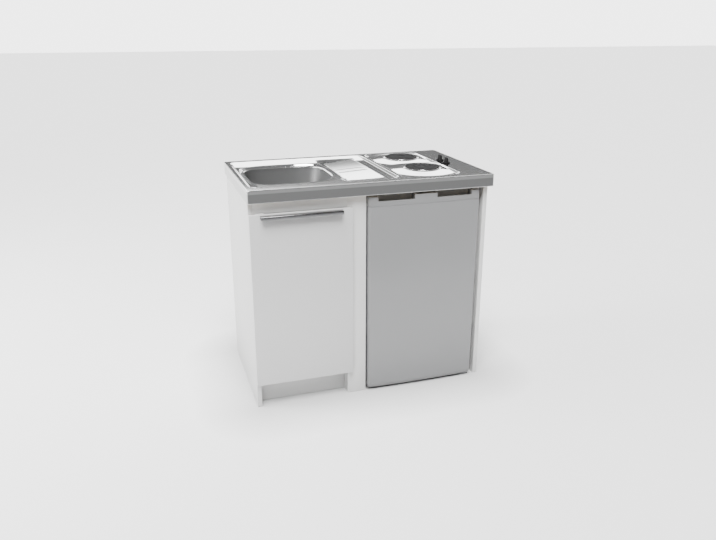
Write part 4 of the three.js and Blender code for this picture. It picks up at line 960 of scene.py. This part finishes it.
def trapPieces():
    for name, node in (("trapBody", "trap_body"), ("trapBottle", "trap_bottle")):
        mesh = bmesh.new()
        mesh.from_mesh(frame["nodes"][node].data)
        closed(mesh)
        if name == "trapBody":
            ribbedNut(mesh)
        piece(name, mesh, [node], angle=32)


strainer()
basket()
trapPieces()
print("drain")


# refrigerator door: crowned front, round corners

cooler = dict(x=208, front=-294, half=239, depth=45, crown=5, corner=12)
grips = dict(width=152, spacing=247, floor=820, wall=11, trough=24, depth=12)


def doorPlan(inset, steps=24):
    side = cooler["half"] - inset
    corner = max(1.0, cooler["corner"] - inset)
    front = cooler["crown"] + inset
    plan = [(-side, cooler["depth"])] + arc(-side + corner, front + corner, corner, 180, 270, 8)
    a, b = -side + corner, side - corner
    for i in range(1, steps):
        t = i / steps
        bow = 2 * t * (1 - t)
        plan.append((a + (b - a) * t, front * (1 - bow) + (inset - cooler["crown"]) * bow))
    plan += arc(side - corner, front + corner, corner, 270, 360, 8) + [(side, cooler["depth"])]
    return plan


def doorLoop(inset, z):
    return [at(cooler["x"] + px, cooler["front"] + py, z) for px, py in doorPlan(inset)]


def doorPanel():
    levels = ((0.8, 25.4), (0.3, 25.7), (0, 26.6), (0, 798.4), (0.3, 799.3), (0.8, 799.6))
    mesh = addLoft(bmesh.new(), [doorLoop(inset, z) for inset, z in levels])
    piece("fridgeDoor", mesh, ["fridge_door_panel"], angle=30)


def gripStrip():
    levels = ((0.6, 800), (0, 800.7), (0, 836.5), (0.5, 838.2), (1.6, 839.4), (3, 840))
    mesh = addLoft(bmesh.new(), [doorLoop(inset, z) for inset, z in levels])
    notches = bmesh.new()
    floor, front, wall = grips["floor"], cooler["front"], grips["wall"]
    trough, bottom = wall + grips["trough"], floor - grips["depth"]
    profile = [(-6, floor), (wall, floor), (wall + 1.5, bottom + 3), (wall + 5, bottom), (trough - 6, bottom)]
    profile += [(trough, floor - 4), (trough, 850), (-6, 850)]
    for way in (-0.5, 0.5):
        middle = cooler["x"] + way * grips["spacing"]
        ends = [middle - grips["width"] / 2, middle + grips["width"] / 2]
        addLoft(notches, [[at(x, front + py, z) for py, z in profile] for x in ends])
    piece("gripStrip", mesh, ["fridge_grip_strip"], edge=0.7, angle=42, cutters=notches)


def bottomCap():
    levels = ((6, 13.1), (5.2, 13.4), (0.6, 22.6), (0, 23.6), (0, 24.6), (0.4, 25))
    mesh = addLoft(bmesh.new(), [doorLoop(inset, z) for inset, z in levels])
    piece("bottomCap", mesh, ["fridge_bottom_cap"], angle=30)


doorPanel()
gripStrip()
bottomCap()
bracket = dict(x=431, top=839.3, screws=(-216, -199), screwRadius=4)
hingeScrews = [(bracket["x"], y, bracket["top"], 0, 0, 1) for y in bracket["screws"]]
screwHeads("hingeScrews", "carcase", hingeScrews, radius=bracket["screwRadius"])
print("refrigerator door")


# thermostat marks, compressor and condenser

dial = dict(face=358.9, y=-14.05, z=600, reach=20.5, start=-45, sweep=270, marks=8, least=0.6, growth=0.16)


def dialMarks():  # dots round the dial that grow with the cold
    mesh = bmesh.new()
    for i in range(dial["marks"]):
        turn = math.radians(dial["start"] + dial["sweep"] * i / (dial["marks"] - 1))
        y = dial["y"] + dial["reach"] * math.cos(turn)
        z = dial["z"] + dial["reach"] * math.sin(turn)
        addRod(mesh, (dial["face"], y, z), (dial["face"] - 0.5, y, z), dial["least"] + dial["growth"] * i, 16)
    piece("dialMarks", mesh, [], look="gasket_rubber", body="carcase")


pot = dict(x=148, y=148, base=38.3, radius=50, seam=53, seamZ=(69, 77), top=150)
potFoot = dict(x=(58, 48), y=(40, 30), below=1, sheet=2.6)
terminals = dict(half=17, start=40, end=57.4, z=(26, 66))


def compressorPot():
    x, y, base, radius = pot["x"], pot["y"], pot["base"], pot["radius"]
    low, high = pot["seamZ"]
    profile = [(0, 0), (40, 0), (47, 8), (radius, 22), (radius, low - 2), (radius + 0.6, low)]
    profile += [(pot["seam"], low + 1), (pot["seam"], high - 1), (radius + 0.6, high), (radius, high + 2)]
    profile += [(radius, 112), (48, 126), (42, 139), (32, 146), (18, pot["top"] - 0.4), (0, pot["top"])]
    mesh = addTurned(bmesh.new(), rounded(profile, 3, 3), (x, y, base), 72)
    halfX, halfY = potFoot["x"][0], potFoot["y"][0]
    addBox(
        mesh,
        (x - halfX, y - halfY, base - potFoot["below"]),
        (x + halfX, y + halfY, base + potFoot["sheet"]),
    )
    grommet = rounded([(0, -8), (7, -8), (7, -4.6), (5.4, -4), (7, -3.4), (7, 0), (0, 0)], 0.8, 3)
    bolt = [(0, 8.4), (3.4, 8.2), (4.6, 6.8), (4.6, 3), (0, 3)]
    for a in (-1, 1):
        for b in (-1, 1):
            spot = (x + a * potFoot["x"][1], y + b * potFoot["y"][1], base)
            addTurned(mesh, grommet, spot, 24)
            addTurned(mesh, bolt, spot, 20)
    half = terminals["half"]
    cover = ring(x - half, x + half, y + terminals["start"], y + terminals["end"], 3, 3)
    addLoft(mesh, [[at(px, py, base + z) for px, py in cover] for z in terminals["z"]])
    piece("compressor", mesh, ["compressor"], angle=32)


coil = dict(tube=2.6, rows=9, pitch=56, bottom=262, bendSteps=14, ends=8)
straps = dict(places=(-1.5, -0.5, 0.5, 1.5), half=6, sheet=0.8, tab=2)
wires = dict(count=27, inset=14, radius=0.8)


def coilPath(left, right, y):  # a tube that runs to and fro and climbs one pitch at each bend
    bend, steps = coil["pitch"] / 2, coil["bendSteps"]
    path = []
    for row in range(coil["rows"]):
        z = coil["bottom"] + row * coil["pitch"]
        way = 1 if row % 2 == 0 else -1
        start, end = (left + bend, right - bend)[::way]
        path += [(start, y, z), (end, y, z)]
        if row < coil["rows"] - 1:
            turns = [math.pi * i / steps for i in range(1, steps)]
            path += [(end + way * bend * math.sin(t), y, z + bend - bend * math.cos(t)) for t in turns]
    return path


def condenser():
    low, high = boxOf("condenser")
    tube = coil["tube"]
    y = high[1] - tube
    left, right = low[0] + tube, high[0] - tube
    mesh = addPipe(bmesh.new(), coilPath(left, right, y), tube, 3)
    start = coil["bottom"] - coil["ends"]
    end = coil["bottom"] + (coil["rows"] - 1) * coil["pitch"] + coil["ends"]
    back, half, sheet, tab = y - tube, straps["half"], straps["sheet"], straps["tab"]
    for place in straps["places"]:  # upright straps, with tabs against the body
        x = (left + right) / 2 + place * (high[0] - low[0] - coil["pitch"]) / 4
        addBox(mesh, (x - half, back - sheet, start), (x + half, back + sheet, end))
        for z in (start, end - tab):
            addBox(mesh, (x - half, low[1] + 0.02, z), (x + half, back, z + tab))
    inset = wires["inset"]
    for i in range(wires["count"]):  # the wires that spread the heat
        x = left + inset + (right - left - 2 * inset) * i / (wires["count"] - 1)
        addRod(mesh, (x, back - 0.2, start + 3), (x, back - 0.2, end - 3), wires["radius"], 8)
    piece("condenser", mesh, ["condenser"], angle=50)


foot = dict(left=14, right=402, y=-201.05, pad=16, stem=5, nut=11, nutZ=(14.7, 21.7), height=38)


def feet():
    pad, stem, hexagon, (low, high) = foot["pad"], foot["stem"], foot["nut"], foot["nutZ"]
    profile = [(0, 0), (pad - 0.6, 0), (pad, 0.8), (pad, 4.6), (pad - 3, 7), (stem, 7.4), (stem, low)]
    profile += [(hexagon - 0.8, low), (hexagon, low + 0.9), (hexagon, high - 0.7), (hexagon - 0.8, high)]
    profile += [(stem, high), (stem, foot["height"]), (0, foot["height"])]
    for word in ("left", "right"):
        mesh = addTurned(bmesh.new(), rounded(profile, 0.6, 3), (foot[word], foot["y"], 0), 48)
        piece(word + "Foot", mesh, ["fridge_foot_" + word], angle=35)


dialMarks()
compressorPot()
condenser()
feet()
print("back of the refrigerator")


# floor and light

# shade, reach and strength set the painted contact shadow round the unit; dim is the painted shade on the
# floor in front
stage = dict(size=40, below=0.0005, paper=(0.85, 0.87), shade=0.3, reach=0.3, strength=0.75, frontShadeTone=0.2)
floorPaint = Paint("floorPaint", Roughness=0.9, Specular_IOR_Level=0.0)
paper = floorPaint.mix(floorPaint.noise(3, 2), *((tone,) * 3 for tone in stage["paper"]))
past = [  # how far out of the unit's footprint, along each axis
    floorPaint.apart(floorPaint.place, axis).sum("ABSOLUTE").sum("SUBTRACT", reach).sum("MAXIMUM", 0.0)
    for axis, reach in (("X", 0.45), ("Y", 0.24))
]
distance = (past[0] * past[0] + past[1] * past[1]).sum("SQRT")
contactShadowMask = distance.fit(0.0, stage["reach"], stage["strength"], 0.0)  # painted contact shadow, under and near the unit
shaded = floorPaint.mix(contactShadowMask, paper, (stage["shade"],) * 3)
frontShadeMask = floorPaint.apart(floorPaint.place, "Y").fit(-2.6, -1.7, 1.0, 0.0)  # painted shade: the floor is made darker in front, standing in for a dim studio there
floorPaint.feed("Base Color", floorPaint.mix(frontShadeMask, shaded, (stage["frontShadeTone"],) * 3))
mesh = bmesh.new()
bmesh.ops.create_grid(mesh, x_segments=1, y_segments=1, size=stage["size"])
floorData = bpy.data.meshes.new("floor")
mesh.to_mesh(floorData)
mesh.free()
floorData.materials.append(floorPaint.material)
floor = bpy.data.objects.new("floor", floorData)
floor.location.z = -stage["below"]
bpy.context.scene.collection.objects.link(floor)

studio = dict(fill=0.3, box=6.7, upper=0.6, front=0.8, back=4.0)  # strengths of the room's light
world = bpy.data.worlds.new("studio")
world.use_nodes = True
bpy.context.scene.world = world
sky = Shade(world.node_tree)
away = sky.node("ShaderNodeTexCoord", out="Generated")
height = sky.apart(away, "Z")
depth = sky.apart(away, "Y")
softBox = height.fit(0.22, 0.229) * height.fit(0.35, 0.33) * depth.fit(0.2, 0.45)
upper = height.fit(0.33, 0.35) * height.fit(0.7, 0.55, 0.15, 1.0) * depth.fit(-0.1, 0.2)
horizon = height.fit(0.08, 0.05)
level = studio["fill"] + softBox * studio["box"] + upper * studio["upper"]
level = level + horizon * depth.fit(-0.3, 0.3, studio["front"], studio["back"])
backdrop = sky.tree.nodes["Background"]
backdrop.inputs["Color"].default_value = (1, 1, 1, 1)
sky.tree.links.new(level.socket, backdrop.inputs["Strength"])

side = dict(shape="DISK", size=1.6, energy=180)
over = dict(angle=0.6, energy=9)
lamps = [
    dict(name="side", kind="AREA", place=(-3.4, 0.5, 2.3), aim=(0, 0, 0.5), values=side),
    dict(name="over", kind="SUN", place=(-0.6, -1.8, 3.52), aim=(0, 0, 0), values=over),
]
for lamp in lamps:
    data = bpy.data.lights.new(lamp["name"], lamp["kind"])
    for key, value in lamp["values"].items():
        setattr(data, key, value)
    made = bpy.data.objects.new(lamp["name"], data)
    made.location = lamp["place"]
    made.rotation_euler = (Vector(lamp["aim"]) - Vector(lamp["place"])).to_track_quat("-Z", "Y").to_euler()
    bpy.context.scene.collection.objects.link(made)
